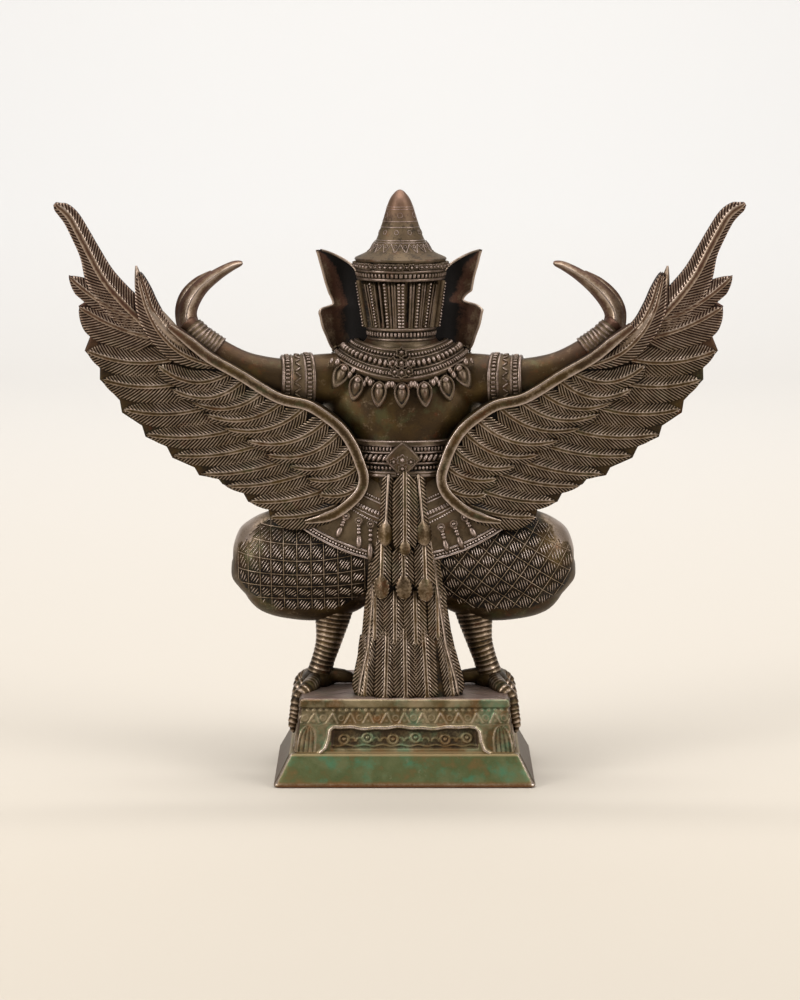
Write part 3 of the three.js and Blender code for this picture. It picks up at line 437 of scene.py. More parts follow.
# %% Ornaments
def turned(profile, sides=10):
    radius, height, tone = np.array(profile, float).T
    angle = 2 * np.pi * np.arange(sides) / sides
    x, y = radius[:, None] * np.cos(angle), radius[:, None] * np.sin(angle)
    rings = np.stack([x, y, np.broadcast_to(height[:, None], x.shape)], -1) * MM
    return loft(rings, tone[:, None])


# A flat ornament: an outline drawn in smaller and smaller steps, each at its own height.
def stepped(outline, levels):
    outline = np.asarray(outline, float)
    rings = [np.column_stack([outline * share, np.full(len(outline), rise)]) for share, rise, _ in levels]
    return loft(np.array(rings) * MM, [[tone] for _, _, tone in levels])


def leaf_outline(count=24, belly=0.42, tail=0.12):
    t = np.linspace(0, 1, count // 2 + 1)
    wide = belly * np.sin(np.pi * t**0.8) ** 0.75 * (1 - tail * t)
    half = np.column_stack([t - 0.4, wide])
    return np.concatenate([half, half[-2:0:-1] * [1, -1]])


def rounded_outline(sides, power=2.0):
    return np.array(superellipse(sides, power)).T * 0.5


def ornament(name, shape):
    return bpy.data.objects.new(name, as_mesh(name, shape))


BEAD = [(0.5, -0.4, 0.1), (0.5, 0.05, 0.2), (0.46, 0.22, 0.6), (0.32, 0.4, 0.95), (0.12, 0.49, 1)]
STROKE = [(1, -0.3, 0.1), (0.85, 0.2, 0.6), (0.4, 0.45, 0.95)]
BUD = [(1, -0.5, 0.1), (1, 0.3, 0.6), (0.88, 0.46, 0.85), (0.76, 0.3, 0.3), (0.68, 0.16, 0.05)]
BUD += [(0.55, 0.2, 0.2), (0.4, 0.42, 0.6), (0.15, 0.55, 0.75)]
PETALS = 6
PETAL_DEPTH = 0.16
petals = 1 + PETAL_DEPTH * np.cos(PETALS * 2 * np.pi * np.arange(48) / 48)
petal_outline = rounded_outline(48) * petals[:, None]
ROSETTE = [(1, -0.4, 0.1), (1, 0.14, 0.5), (0.86, 0.26, 0.95), (0.62, 0.1, 0.2), (0.5, 0.04, 0.05)]
ROSETTE += [(0.42, 0.24, 0.7), (0.2, 0.36, 1)]
SQUARE = [(1, -0.4, 0.1), (0.96, 0.2, 0.5), (0.8, 0.38, 0.85), (0.3, 0.42, 0.9)]
bead = ornament("bead", turned(BEAD))
square_bead = ornament("square bead", stepped(rounded_outline(16, 5), SQUARE))
stroke = ornament("stroke", stepped(rounded_outline(8), STROKE))
bud = ornament("bud", stepped(leaf_outline(), BUD))
rosette = ornament("rosette", stepped(petal_outline, ROSETTE))


# Points of a surface given by two numbers, with the way out of it and the ways along both numbers.
def frames(surface, a, b, small=0.05):
    points = surface(a, b)
    along = surface(a + small, b) - surface(a - small, b)
    across = surface(a, b + small) - surface(a, b - small)
    facing = np.cross(along, across)
    facing *= np.sign(np.sum(facing[:, :2] * points[:, :2], axis=1, keepdims=True))
    return points, *(v / np.linalg.norm(v, axis=1, keepdims=True) for v in (facing, along, across))


# Evenly paced places along a line of such number pairs.
def paced(surface, a, b, pitch, fine=400):
    a, b = (np.atleast_1d(np.asarray(v, float)) for v in (a, b))
    count = max(len(a), len(b))
    a, b = (np.interp(np.linspace(0, count - 1, fine), np.arange(count), np.resize(v, count)) for v in (a, b))
    run = np.concatenate([[0], np.cumsum(np.linalg.norm(np.diff(surface(a, b), axis=0), axis=1))]) / MM
    even = np.linspace(0, run[-1], max(2, int(round(run[-1] / pitch)) + 1))
    return np.interp(even, run, a), np.interp(even, run, b)


def row_on(surface, a, b, pitch, what, size, lift=0.0, variation=0.06):
    a, b = paced(surface, a, b, pitch)
    points, facing, *_ = frames(surface, a, b)
    along = np.gradient(points, axis=0)
    return set_out(points + facing * lift * MM, facing, along, size, what, variation)


def line_on(surface, a, b, radius, lift=0.0, tone=0.95, pitch=1.5):
    a, b = paced(surface, a, b, pitch)
    points, facing, *_ = frames(surface, a, b)
    return cord([points + facing * lift * MM], radius, tone)


def surface_loft(surface, a, b, relief=0.5):
    return loft(np.stack([surface(a, np.full(len(a), v)) for v in b]), relief)


print("ornaments:", bead.name, square_bead.name, stroke.name, bud.name, rosette.name)

# %% [markdown]
# The body is a broad-shouldered torso with a narrow waist, arms held out, and thighs and calves folded
# into one round mass at each side. The rows are the ones that the cast was drawn with: height, half width,
# half depth and middle for upright forms, and x, y, z with two radii for limbs.

# %% Body
BODY = [
    (60, 26, 20, 0),
    (80, 40, 27, 2),
    (108, 43, 28, 2),
    (126, 38, 26, 3),
    (136, 35, 25, 4),
    (158, 35.5, 24, 3),
    (172, 46, 25.5, 2),
    (186, 51, 27, 0),
    (198, 51, 26, -1),
    (207, 45, 23, -1),
    (214, 33, 20, -1),
    (222, 22, 19.5, -1),
    (234, 20.5, 19.5, -1),
]
ARM = [
    (30, 1, 194, 17, 17),
    (46, 6, 196, 16.8, 15.5),
    (67, 10.5, 196.2, 14.9, 12.6),
    (78, 12, 196.6, 13.8, 11.6),
    (98, 13, 203, 11.2, 10),
    (113.5, 13, 212, 9.4, 8.8),
    (127, 12.5, 222.8, 8, 8),
    (136, 11, 233, 6.6, 8),
]
THIGH = [
    (6, 0, 80, 24, 22),
    (30, -2, 82, 31, 27),
    (52, -2, 83, 32.5, 29),
    (74, -3, 81.5, 31.5, 28.5),
    (92, -3, 77.8, 28, 26),
    (102, -3, 75.5, 21.5, 20.5),
    (108, -3, 74.5, 12, 12),
    (110.4, -3, 74.5, 3.5, 3.5),
]
CALF = [
    (20, -3, 64, 8, 10),
    (34, -3, 57, 12, 14),
    (50, -3, 56, 16, 18),
    (68, -4, 56.5, 16.5, 20),
    (86, -4, 59.5, 15, 18),
    (98, -4, 66, 9, 10),
]
SPUR = [
    (54, -2, 3.2, 6.4),
    (44, -1, 3.7, 5),
    (36, 0, 2.7, 4),
    (31.5, 1, -0.3, 1.6),
]
SOLE_MIDDLE = (56, -2, 1.2)
SOLE_HALF = (10.5, 15, 7)
BODY_VOXEL = 1.43
BODY_PASSES = 9
BODY_RELIEF = 0.42


def body():
    soft = [upright(BODY)]
    for side in SIDES:
        soft += [limb(ARM, side), limb(THIGH, side), limb(CALF, side), limb(SPUR, side, 16, 20)]
        soft.append(ball(SOLE_MIDDLE, SOLE_HALF, side))
    return melted(soft, BODY_VOXEL, BODY_PASSES, BODY_RELIEF)


body_skin = body()
print("body skin", len(body_skin.quads), "faces")

# %% [markdown]
# Ornaments that lie on the soft body find it by rays. `touch` looks for the skin at drawn x and z, from
# behind or from in front, and hands back the places, the ways out of the skin and which rays met it.

# %% Rays to the body
BODY_TREE = BVHTree.FromPolygons(body_skin.points.tolist(), body_skin.quads.tolist())
RAY_START = 90
LEAST_FACING = 0.25


def touch(x, z, facing):
    starts = np.atleast_2d(at(x, facing * RAY_START, z))
    met = [BODY_TREE.ray_cast(start.tolist(), (0, -facing, 0))[:2] for start in starts]
    places = np.array([tuple(place) if place else (0, 0, 0) for place, _ in met])
    outs = np.array([tuple(out) if place else (0, 0, 0) for place, out in met])
    return places, outs, facing * outs[:, 1] > LEAST_FACING


print("a ray meets the back", touch(0, 180, BACK)[0][0, 1] / MM, "mm behind the figure's middle")

# %% [markdown]
# The thighs wear a patterned cloth: on the left one a squared net, on the right a slanted one, and every
# mesh is hatched with short slanting strokes. Threads of wax are draped over the thigh for the net, and
# strokes are laid in each mesh up to its edges. The knees are left plain, where hands rub them, and are
# made lighter there, partly as wear and partly as a painted sheen.

# %% Patterned thighs
VERTICALS = np.array([24.5, 33, 41.5, 50.5, 58.5, 67.5, 76, 84, 91, 98.5, 105])
LEVELS = np.array([48, 57, 65.5, 73.5, 82.5, 93, 102.5, 111])
NET_PITCH = 8.8
NET_MIDDLE = (67, 78)
NET_TURN = {1: 0.0, -1: -0.62}
EVEN_LINES = NET_PITCH * np.arange(-7, 8)
NETS = {1: (VERTICALS, LEVELS), -1: (NET_MIDDLE[0] + EVEN_LINES, NET_MIDDLE[1] + EVEN_LINES)}
NET_SAG = 4.5
NET_SAG_REACH = 36
NET_SAG_FOOT, NET_SAG_TOP = 52, 87
NET_STEP = 1.2
THREAD_RADIUS = 0.3
THREAD_LIFT = 0.15
THREAD_RELIEF = 0.66
HATCH_TURN = {1: 2.18, -1: 2.45}
HATCH_PITCH = 1.6
HATCH_MARGIN = 0.55
HATCH_START = 0.4
SHORTEST_STROKE = 1.8
STROKE_WIDTH = 0.8
STROKE_HEIGHT = 1.3
PATTERN_MIDDLE, PATTERN_HALF = (62, 80), (46, 32)
PATTERN_FOOT = 50
KNEE_MIDDLE, KNEE_HALF = (103, 105), (9, 12)
KNEE_TIP = 107
# The lighter patch on each knee: partly wear from hands, partly a painted sheen.
WEAR_AND_SHEEN_MIDDLE, WEAR_AND_SHEEN_HALF = (100, 97), (18, 22)
WEAR_AND_SHEEN_RELIEF = 0.42
GROUND_RELIEF = 0.18
GROUND_OFF_SIDE = 8


# How far out a place lies in an oval, from 0 in the middle to 1 on the edge.
def oval_share(x, z, middle, half):
    return np.hypot((x - middle[0]) / half[0], (z - middle[1]) / half[1])


# Whether drawn places lie on the patterned part of the thigh.
def on_thigh(x, z):
    inside = oval_share(x, z, PATTERN_MIDDLE, PATTERN_HALF) < 1
    knee = (oval_share(x, z, KNEE_MIDDLE, KNEE_HALF) < 1) | (x > KNEE_TIP)
    return inside & ~knee & (z > PATTERN_FOOT)


# The net hangs in shallow curves and is turned on the right thigh.
def on_net(side, u, v):
    turn, (x0, z0) = NET_TURN[side], NET_MIDDLE
    x = x0 + (u - x0) * math.cos(turn) - (v - z0) * math.sin(turn)
    z = z0 + (u - x0) * math.sin(turn) + (v - z0) * math.cos(turn)
    hung = np.clip((z - NET_SAG_FOOT) / (NET_SAG_TOP - NET_SAG_FOOT), 0, 1)
    return x, z + NET_SAG * ((x - x0) / NET_SAG_REACH) ** 2 * hung


# The hatching of one mesh: where each stroke's middle lies and how long it is.
def hatched(u0, u1, v0, v1, turn):
    run, across = np.array([math.cos(turn), math.sin(turn)]), np.array([-math.sin(turn), math.cos(turn)])
    low, high = np.array([u0, v0]) + HATCH_MARGIN, np.array([u1, v1]) - HATCH_MARGIN
    corners = np.array([(u, v) for u in (low[0], high[0]) for v in (low[1], high[1])]) @ across
    for offset in np.arange(corners.min() + HATCH_START, corners.max(), HATCH_PITCH):
        start = across * offset
        ends = np.stack([(low - start) / run, (high - start) / run])
        enter, leave = ends.min(0).max(), ends.max(0).min()
        if leave - enter > SHORTEST_STROKE:
            yield (*(start + run * (enter + leave) / 2), leave - enter)


def thigh_net(side, facing):
    columns, rows = NETS[side]
    fine = [np.arange(lines[0], lines[-1], NET_STEP) for lines in (columns, rows)]
    lines = [on_net(side, column + 0 * fine[1], fine[1]) for column in columns]
    lines += [on_net(side, fine[0], row + 0 * fine[0]) for row in rows]
    threads = []
    for x, z in lines:
        places, outs, met = touch(side * x, z, facing)
        kept = met & on_thigh(x, z)
        places = places + outs * THREAD_LIFT * MM
        for part in np.split(np.arange(len(x)), np.flatnonzero(np.diff(kept.astype(int))) + 1):
            if kept[part[0]] and len(part) > 2:
                threads.append(places[part])
    meshes = [(*pair, *row) for pair in zip(columns, columns[1:]) for row in zip(rows, rows[1:])]
    strokes = np.array([stroke for mesh in meshes for stroke in hatched(*mesh, HATCH_TURN[side])])
    x, z = on_net(side, strokes[:, 0], strokes[:, 1])
    places, outs, met = touch(side * x, z, facing)
    kept = met & on_thigh(x, z)
    turn = HATCH_TURN[side] + NET_TURN[side]
    way = (side * math.cos(turn), 0, math.sin(turn))
    size = np.column_stack([strokes[:, 2], np.full(len(x), STROKE_WIDTH), np.full(len(x), STROKE_HEIGHT)])
    hatching = set_out(places[kept], outs[kept], way, size[kept], stroke, 0.04)
    return [cord(threads, THREAD_RADIUS, THREAD_RELIEF, 6), hatching]


# The thighs' ground is dark, and the knees are made lighter: partly rubbed wear, partly a painted sheen.
def thighs_with_wear_and_sheen(skin):
    x, z = np.abs(skin.points[:, 0]) / MM, skin.points[:, 2] / MM - PLINTH_TOP - SEAT_LIFT
    ground = on_thigh(x, z) & (np.abs(skin.points[:, 1]) > GROUND_OFF_SIDE * MM)
    # Painted sheen and wear: the knee patch raises the relief, so the colour there goes light.
    wear_and_sheen = WEAR_AND_SHEEN_RELIEF * hump(oval_share(x, z, WEAR_AND_SHEEN_MIDDLE, WEAR_AND_SHEEN_HALF), 1)
    return skin._replace(relief=np.where(ground, GROUND_RELIEF, skin.relief) + wear_and_sheen)


nets = [shape for side in SIDES for facing in (BACK, FRONT) for shape in thigh_net(side, facing)]
thigh_pattern = join(nets)
body_skin = thighs_with_wear_and_sheen(body_skin)
tell("body", body_skin)
tell("patterned thighs", thigh_pattern)

# %% [markdown]
# Each feather is a long leaf with a raised shaft. A thin shaft is one light rounded ridge, and a wide one
# is a band between two light lines. On both sides the carver cut barbs, slanting strokes that lie about
# 1.6 mm apart, which is 2.45 mm along the shaft. A plain grid would blur them, so the mesh of each feather
# is laid along its own strokes: every second row of points is a groove.

# %% One feather
BARB_PITCH = 2.45
BARB_DEPTH = 1.4
BARB_SLANT = 1.15
SHAFT_HALF = 1.45
HOLLOW_SHAFT = 1.2
SHAFT_RISE = 0.95
ROOT_SINK = 1.2
ROOT_REACH = 12
EDGE_DROOP = 0.55
CREST_RELIEF = 0.94
GROOVE_RELIEF = -0.05
VANE_SHARES = (1.0, 0.68, 0.34)


def along_line(line, s):
    run = np.concatenate([[0], np.cumsum(np.linalg.norm(np.diff(line[:, :2], axis=0), axis=1))])
    return np.stack([np.interp(s, run, line[:, i]) for i in range(line.shape[1])], -1), run[-1]


def leaf_taper(q, root=0.6, full=0.3, tip=0.78, point=0.75):
    rise = root + (1 - root) * np.clip(q / full, 0, 1)
    fall = np.clip((q - tip) / (1 - tip), 0, 1)
    return rise * np.maximum(1 - fall**2, 0) ** point


# How far a stroke that leaves the shaft at s can run before it meets the feather's edge.
def stroke_reach(line, s, base, length, side_column):
    near, far = base.copy(), np.full(len(s), line[:, 2:].max() + 1.0)
    for _ in range(16):
        t = (near + far) / 2
        edge = along_line(line, np.minimum(s + BARB_SLANT * (t - base), length))[0][:, side_column]
        outside = t > edge
        near, far = np.where(outside, near, t), np.where(outside, t, far)
    return near


# line holds rows of x, z, width above the shaft and width below it. place turns x, z and height into points.
# bud gives the half width and length of a plain oval that the shaft swells into at its end. Columns of points
# are made from each edge to the shaft, and then put in order across the feather.
def feather(place, line, lift, thick, begin=0.0, tilt=0.5, bud=None, shaft=SHAFT_HALF):
    length = along_line(line, 0)[1]
    s = np.arange(begin * length, length, BARB_PITCH / 2)
    s[-1] = length
    sunk = lift - ROOT_SINK * np.clip(1 - s / ROOT_REACH, 0, 1)
    groove = np.arange(len(s)) % 2 == 0
    swell = 0 * s
    if bud:
        swell = np.sqrt(np.clip(1 - ((s - length + bud[1] / 2) / (bud[1] / 2)) ** 2, 0, 1))
    columns = []
    for way, side_column in ((-1, 2), (1, 3)):
        base = np.maximum(shaft, (bud[0] if bud else 0) * swell)
        base = np.minimum(base, (0.45 + 0.53 * swell) * along_line(line, s)[0][:, side_column])
        reach = stroke_reach(line, s, base, length, side_column)
        reach = base + (reach - base) * (1 - soft_step(swell, 0.2, 0.75))
        for share in VANE_SHARES + (0.0,):
            t = base + (reach - base) * share
            spot = np.minimum(s + BARB_SLANT * (t - base), length)
            cut = BARB_DEPTH * (0.3 if share == 0 else 0.75 if share == 1 else 1) * 0.5
            height = sunk + tilt * way * share - EDGE_DROOP * share**3 - np.where(groove, cut, -cut)
            tone = np.where(groove, GROOVE_RELIEF, CREST_RELIEF) - 0.1 * share
            columns.append((spot, way * t, height, tone))
        rim = sunk + SHAFT_RISE * np.minimum(base / shaft, 1)
        columns.append((s, way * base * 0.8, rim + 0.5 * swell, 0.8 - 0.3 * swell))
    hollow = shaft > HOLLOW_SHAFT
    middle = sunk + SHAFT_RISE * np.minimum(base / shaft, 1) * ((0.25 if hollow else 1.2) + 1.3 * swell)
    columns.append((s, 0 * s, middle, 0.42 + 0.1 * swell if hollow else 0.72 - 0.2 * swell))
    each = len(columns) // 2
    grid = []
    for spot, t, height, tone in columns[:each] + columns[: each - 1 : -1]:
        centre = along_line(line, spot)[0][:, :2]
        ahead = along_line(line, np.minimum(spot + 0.5, length))[0][:, :2]
        behind = along_line(line, np.maximum(spot - 0.5, 0))[0][:, :2]
        run = (ahead - behind) / np.linalg.norm(ahead - behind, axis=1, keepdims=True)
        plan = centre + t[:, None] * np.stack([run[:, 1], -run[:, 0]], -1)
        grid.append((plan, height, tone))
    for plan, height, tone in (grid[-1], grid[0]):
        grid.append((plan, np.full(len(s), -thick), 0 * tone))
    rings = np.stack([place(plan, height) for plan, height, _ in grid], 1)
    return loft(rings, np.clip(np.stack([tone for _, _, tone in grid], 1), 0, 1))


# %% [markdown]
# A wing hangs from a rounded ridge that runs from the wrist, behind the arm, to the waist, and curls out
# over the hip. Feathers leave it in two layers: long flight feathers whose tips make the wing's outline,
# and coverts over their upper halves. Each is as wide as the way to its neighbours, so none leaves a gap.

# %% Wing surface
RIDGE = [
    (145, 232),
    (133, 222.5),
    (120, 212),
    (101, 201),
    (78, 187),
    (59, 182),
    (45, 173),
    (37, 165.5),
    (31, 156),
    (27, 146),
    (24.5, 137),
    (26, 129),
    (31.5, 122),
    (41, 114.5),
    (51, 110.5),
    (62, 108),
]
WING_Y = 22
WING_SWEEP = 12
WING_SWEEP_X = 60
WING_ROOT_X = 30
WING_REACH = 150
WING_ROOT_HALF = 6.5
WING_TIP_HALF = 2.25
WING_OVERLAP = 0.15
RIDGE_PATH = smooth_rows(RIDGE, 240)


def wing_y(x):
    return WING_Y + WING_SWEEP * np.maximum((x - WING_SWEEP_X) / WING_REACH, 0) ** 2


def wing_half(x):
    thinned = np.clip((x - WING_ROOT_X) / WING_REACH, 0, 1)
    return WING_ROOT_HALF + (WING_TIP_HALF - WING_ROOT_HALF) * thinned


def on_wing(side, facing):
    def place(plan, height):
        x, z = plan[:, 0], plan[:, 1]
        return at(side * x, wing_y(x) + facing * np.maximum(wing_half(x) + height, -WING_OVERLAP), z)

    return place


# A feather's centre line from a share of the ridge to its tip, hanging below the straight way.
def hanging(share, tip_x, tip_z, sag, steps=60):
    root = RIDGE_PATH[int(round(share * (len(RIDGE_PATH) - 1)))]
    run = np.array([tip_x, tip_z]) - root
    down = np.array([run[1], -run[0]]) / np.linalg.norm(run)
    t = np.linspace(0, 1, steps)[:, None]
    return root + run * t + down * sag * 4 * t * (1 - t)


def way_to(line, other):
    return np.linalg.norm(line[:, None] - other[None], axis=2).min(1)


# %% [markdown]
# The long plume at the wing's top is drawn row by row. The flight feathers and coverts hang in
# shallow arcs from the ridge, and two swept ones lie between them and the wrist. On the real casting the
# right plume stands a little further in than the left, so each plume is drawn in by its own amount.

# %% Wing feathers
FLIGHT = [
    (0.02, 207, 264, 6),
    (0.06, 201, 245, 6),
    (0.1, 197, 217, 8),
    (0.16, 188, 199, 9),
    (0.22, 175, 180, 10),
    (0.29, 161.5, 164, 10),
    (0.36, 144.5, 150.5, 10),
    (0.44, 127, 138.5, 9),
    (0.53, 112, 131, 8),
    (0.63, 97, 121, 7),
    (0.76, 84, 111, 5),
]
COVERTS = [
    (0.185, 153, 208, 9),
    (0.21, 145, 193, 9),
    (0.24, 133, 185, 8),
    (0.28, 124, 177, 8),
    (0.33, 112, 168, 8),
    (0.39, 98, 160, 8),
    (0.455, 86, 151, 8),
    (0.53, 71, 144, 7),
    (0.61, 60, 136, 5),
    (0.7, 53, 126, 4),
]
SWEPT = [
    [(123, 216), (135, 223), (148, 231), (156, 244), (160, 256), (163, 266)],
    [(101, 204), (123, 209), (139, 216), (151, 228), (158, 241), (161.5, 253), (164, 266)],
]
PLUME = [
    (146, 229, 5, 8),
    (157, 228.5, 8, 10),
    (170, 239, 9.5, 11.5),
    (181, 250, 9, 12),
    (190, 262, 8, 10.5),
    (197, 276, 7, 6.2),
    (202.5, 288, 6.4, 5.2),
    (207, 298, 5.8, 4.8),
    (210.5, 303.5, 5, 4.4),
    (213, 306.5, 3.4, 3.4),
    (214.6, 309.4, 0.8, 1.4),
]
PLUME_DRAW = {1: 3.5, -1: 6.0}
PLUME_WAY = np.array([-0.87, 0.5])
PLUME_SHAFT = 2.2
FLIGHT_THICK = 9
FLIGHT_WIDEST = 14
FLIGHT_BEGIN = 0.25
COVERT_THICK = 2
COVERT_WIDEST = 7.5
COVERT_LIFT = 2.1


def vanes(lines, most, ease, hold=0.85, tip=0.72, point=0.85, root=1.0):
    made = []
    for i, line in enumerate(lines):
        above = way_to(line, lines[i - 1]) if i else np.full(len(line), most)
        below = way_to(line, lines[i + 1]) if i + 1 < len(lines) else np.full(len(line), most)
        held = int(hold * len(line))
        widths = []
        for way in (above, below):
            way = np.clip(way * ease, 2.4, most)
            way[held:] = way[held]
            widths.append(way * leaf_taper(np.linspace(0, 1, len(line)), root, 0.35, tip, point))
        made.append(np.column_stack([line, *widths]))
    return made


def wing_feathers(side, facing):
    place = on_wing(side, facing)
    plume = smooth_rows(PLUME, 60)
    drawn = np.sin(np.pi * np.linspace(0, 1, len(plume)) ** 0.8)[:, None]
    plume[:, :2] += PLUME_DRAW[side] * drawn * PLUME_WAY
    made = [feather(place, plume, 0.5, FLIGHT_THICK, tilt=0.3, shaft=PLUME_SHAFT)]
    for i, line in enumerate(vanes([hanging(*row) for row in FLIGHT], FLIGHT_WIDEST, 0.62)):
        made.append(feather(place, line, 0.35 * (i % 2), FLIGHT_THICK, FLIGHT_BEGIN))
    swept = len(SWEPT)
    lines = [smooth_rows(points, 60) for points in SWEPT] + [hanging(*row) for row in COVERTS]
    coverts = vanes(lines, COVERT_WIDEST, 0.66)
    coverts[:swept] = vanes(lines[: swept + 1], COVERT_WIDEST, 0.6, 0.95, 0.55, 0.9, 0.1)[:swept]
    for i, line in enumerate(coverts):
        made.append(feather(place, line, COVERT_LIFT + 0.3 * (i % 2), COVERT_THICK))
    return join(made)


# %% [markdown]
# Under the feathers lies the wing's own plate, and along its inner edge the ridge: a flat band between two
# bright edges, the same in front and behind. At the wrist a plain pointed leaf stands up beside the hand.

# %% Wing plate and ridge
RIDGE_HALF = 3.5
RIDGE_RISE = 4.2
RIDGE_SECTION = [
    (-1, 0, 0.1),
    (-0.97, 0.8, 0.5),
    (-0.8, 1, 1),
    (-0.5, 0.92, 0.6),
    (0, 0.95, 0.4),
    (0.5, 0.92, 0.6),
    (0.8, 1, 1),
    (0.97, 0.8, 0.5),
    (1.05, 0.62, 0.1),
    (2.3, 0.6, 0.1),
    (2.7, 0.3, 0.1),
    (2.8, 0, 0.1),
]
CORE_SINK = 1.3
OUTLINE = [
    (0.0, 199, 262),
    (0.02, 207.3, 264.5),
    (0.04, 194.4, 249.8),
    (0.06, 201.6, 245.2),
    (0.08, 193.9, 228.4),
    (0.1, 198.4, 217.2),
    (0.13, 189.2, 205.9),
    (0.16, 189.4, 198.9),
    (0.19, 177.3, 185.5),
    (0.22, 176.1, 177.8),
    (0.255, 163.7, 169.3),
    (0.29, 161.7, 162.3),
    (0.325, 148.5, 155.9),
    (0.36, 145.1, 148.8),
    (0.4, 131.2, 142.5),
    (0.44, 128.5, 137.5),
    (0.485, 116.6, 135.4),
    (0.53, 113.8, 131.8),
    (0.58, 101.2, 126.9),
    (0.63, 97.8, 120.5),
    (0.7, 85.2, 116.2),
    (0.76, 83.9, 109.8),
    (1.0, 76, 108),
]
SPUR_LEAF = [
    (131, 215, 4, 4.4),
    (141.5, 223, 6.6, 6),
    (151, 233.5, 6.8, 6.2),
    (158.5, 244, 5.6, 5.6),
    (162.3, 254, 4.2, 4.6),
    (164.3, 263, 2.4, 3),
    (165.5, 270, 0.6, 0.8),
]
SPUR_SHIFT = {1: 0.0, -1: 1.7}


# The plate is ruled from the ridge to the wing's measured outline, tips and notches in turn.
def wing_plate(side):
    share, x, z = np.array(OUTLINE).T
    root = RIDGE_PATH[np.round(share * (len(RIDGE_PATH) - 1)).astype(int)]
    t = np.linspace(0, 1, 30)[None, :, None]
    rows = root[:, None] * (1 - t) + np.stack([x, z], -1)[:, None] * t
    x, z = rows[..., 0], rows[..., 1]
    sheets = [at(side * x, wing_y(x) + facing * (wing_half(x) - CORE_SINK), z) for facing in (FRONT, BACK)]
    return plate(*sheets, relief=0.3)


def wing_ridge(side):
    path = RIDGE_PATH
    run = np.gradient(path, axis=0)
    run /= np.linalg.norm(run, axis=1, keepdims=True)
    normal = np.stack([run[:, 1], -run[:, 0]], -1)
    along = np.linspace(0, 1, len(path))
    half = RIDGE_HALF * np.minimum(1, 0.55 + along * 6) * np.minimum(1, 0.3 + (1 - along) * 8)
    rise = (wing_half(path[:, 0]) + RIDGE_RISE) * np.minimum(1, 0.75 + (1 - along) * 4)
    ring = RIDGE_SECTION + [(across, -proud, tone) for across, proud, tone in RIDGE_SECTION[-2:0:-1]]
    rings = []
    for across, proud, _ in ring:
        plan = path - normal * (half * across)[:, None]
        rings.append(at(side * plan[:, 0], wing_y(plan[:, 0]) + rise * proud, plan[:, 1]))
    return loft(np.stack(rings, 1), [tone for _, _, tone in ring])


def spur_leaf(side):
    shift = SPUR_SHIFT[side]
    rows = smooth_rows([(x + shift, wing_y(x), z, wide, deep) for x, z, wide, deep in SPUR_LEAF], 40)
    return limb(rows, side, 20, 60, 1.5, 0.75)


def wing(side):
    layers = [wing_feathers(side, facing) for facing in (BACK, FRONT)]
    return join([*layers, wing_plate(side), wing_ridge(side), spur_leaf(side)])


wings = {side: wing(side) for side in SIDES}
tell("one wing", wings[1])

# %% [markdown]
# The arms end in long curved fingers, like claws or petals, that turn in over the crown. The nearer one
# has a sharp ridge down its middle, so its section is drawn and not round.

# %% Hands
FINGER = [
    (131, 12, 226, 7.4, 7),
    (134.4, 10.5, 232, 6.8, 6.4),
    (135.4, 9, 239, 6.2, 6),
    (133, 8, 247, 5.8, 5.6),
    (127, 7, 255.5, 5, 5),
    (117, 6.5, 263, 3.8, 4.2),
    (108, 6, 268.1, 2.9, 3.2),
    (103, 6, 269.8, 2, 2.2),
    (101, 6, 270.2, 0.8, 0.8),
]
OUTER_FINGER = [
    (135, 5, 225, 5, 4),
    (138.6, 3, 232, 4.2, 3.2),
    (140.2, 1, 241, 3.4, 2.8),
    (137.8, -1, 250, 3, 2.8),
    (130.5, 0, 258, 2.6, 2.4),
    (121, 2, 264, 1.4, 1.4),
]
THUMB = [
    (133, 3, 229, 4.6, 4.6),
    (135, -5, 236, 4.2, 4.2),
    (133, -9, 245, 3.4, 3.4),
    (128, -9, 253, 1.2, 1.2),
]
BLADE_TOP = [(-1, 0), (-0.62, 0.42), (-0.16, 0.92), (0, 1), (0.16, 0.92), (0.62, 0.42), (1, 0)]
BLADE_SECTION = BLADE_TOP + [(0.6, -0.7), (0, -1), (-0.6, -0.7)]
HAND_DRAW = {1: 1.2, -1: 4.5}
HAND_DRAW_FROM, HAND_DRAW_FULL = 236, 256


# A long finger, which the casting draws in towards the crown by its own amount on each side.
def blade(rows, side):
    c, s = np.array(BLADE_SECTION).T
    tone = 0.5 + 0.4 * np.maximum(s, 0) ** 6
    drawn = np.array(rows, float)
    raised = (drawn[:, 2] - HAND_DRAW_FROM) / (HAND_DRAW_FULL - HAND_DRAW_FROM)
    drawn[:, 0] -= HAND_DRAW[side] * np.clip(raised, 0, 1)
    return limb(drawn, side, steps=60, section=(c, s), relief=tone)


def hand(side):
    return join([blade(FINGER, side), blade(OUTER_FINGER, side), limb(THUMB, side, 16, 30)])


hands = join([hand(side) for side in SIDES])
tell("hands", hands)

# %% [markdown]
# Bands circle the arm and the wrist: between plain edges they carry rows of square beads and a zigzag. Each
# is a sleeve that follows the limb's own rows, with the beads set out on it.

# %% Arm bands
# A band round a limb: rows from one end to the other of share of the band's length, rise and relief.
def sleeve(table, first, last, rows, side, sides=48):
    places = np.array([first + (last - first) * share for share, _, _ in rows])
    stations = [row[0] for row in table]
    x, y, z, wide, deep = (np.interp(places, stations, column) for column in zip(*table))
    rise = np.array([rise for _, rise, _ in rows])
    return bar(at(side * x, y, z), wide + rise, deep + rise, sides, relief=[[tone] for _, _, tone in rows])


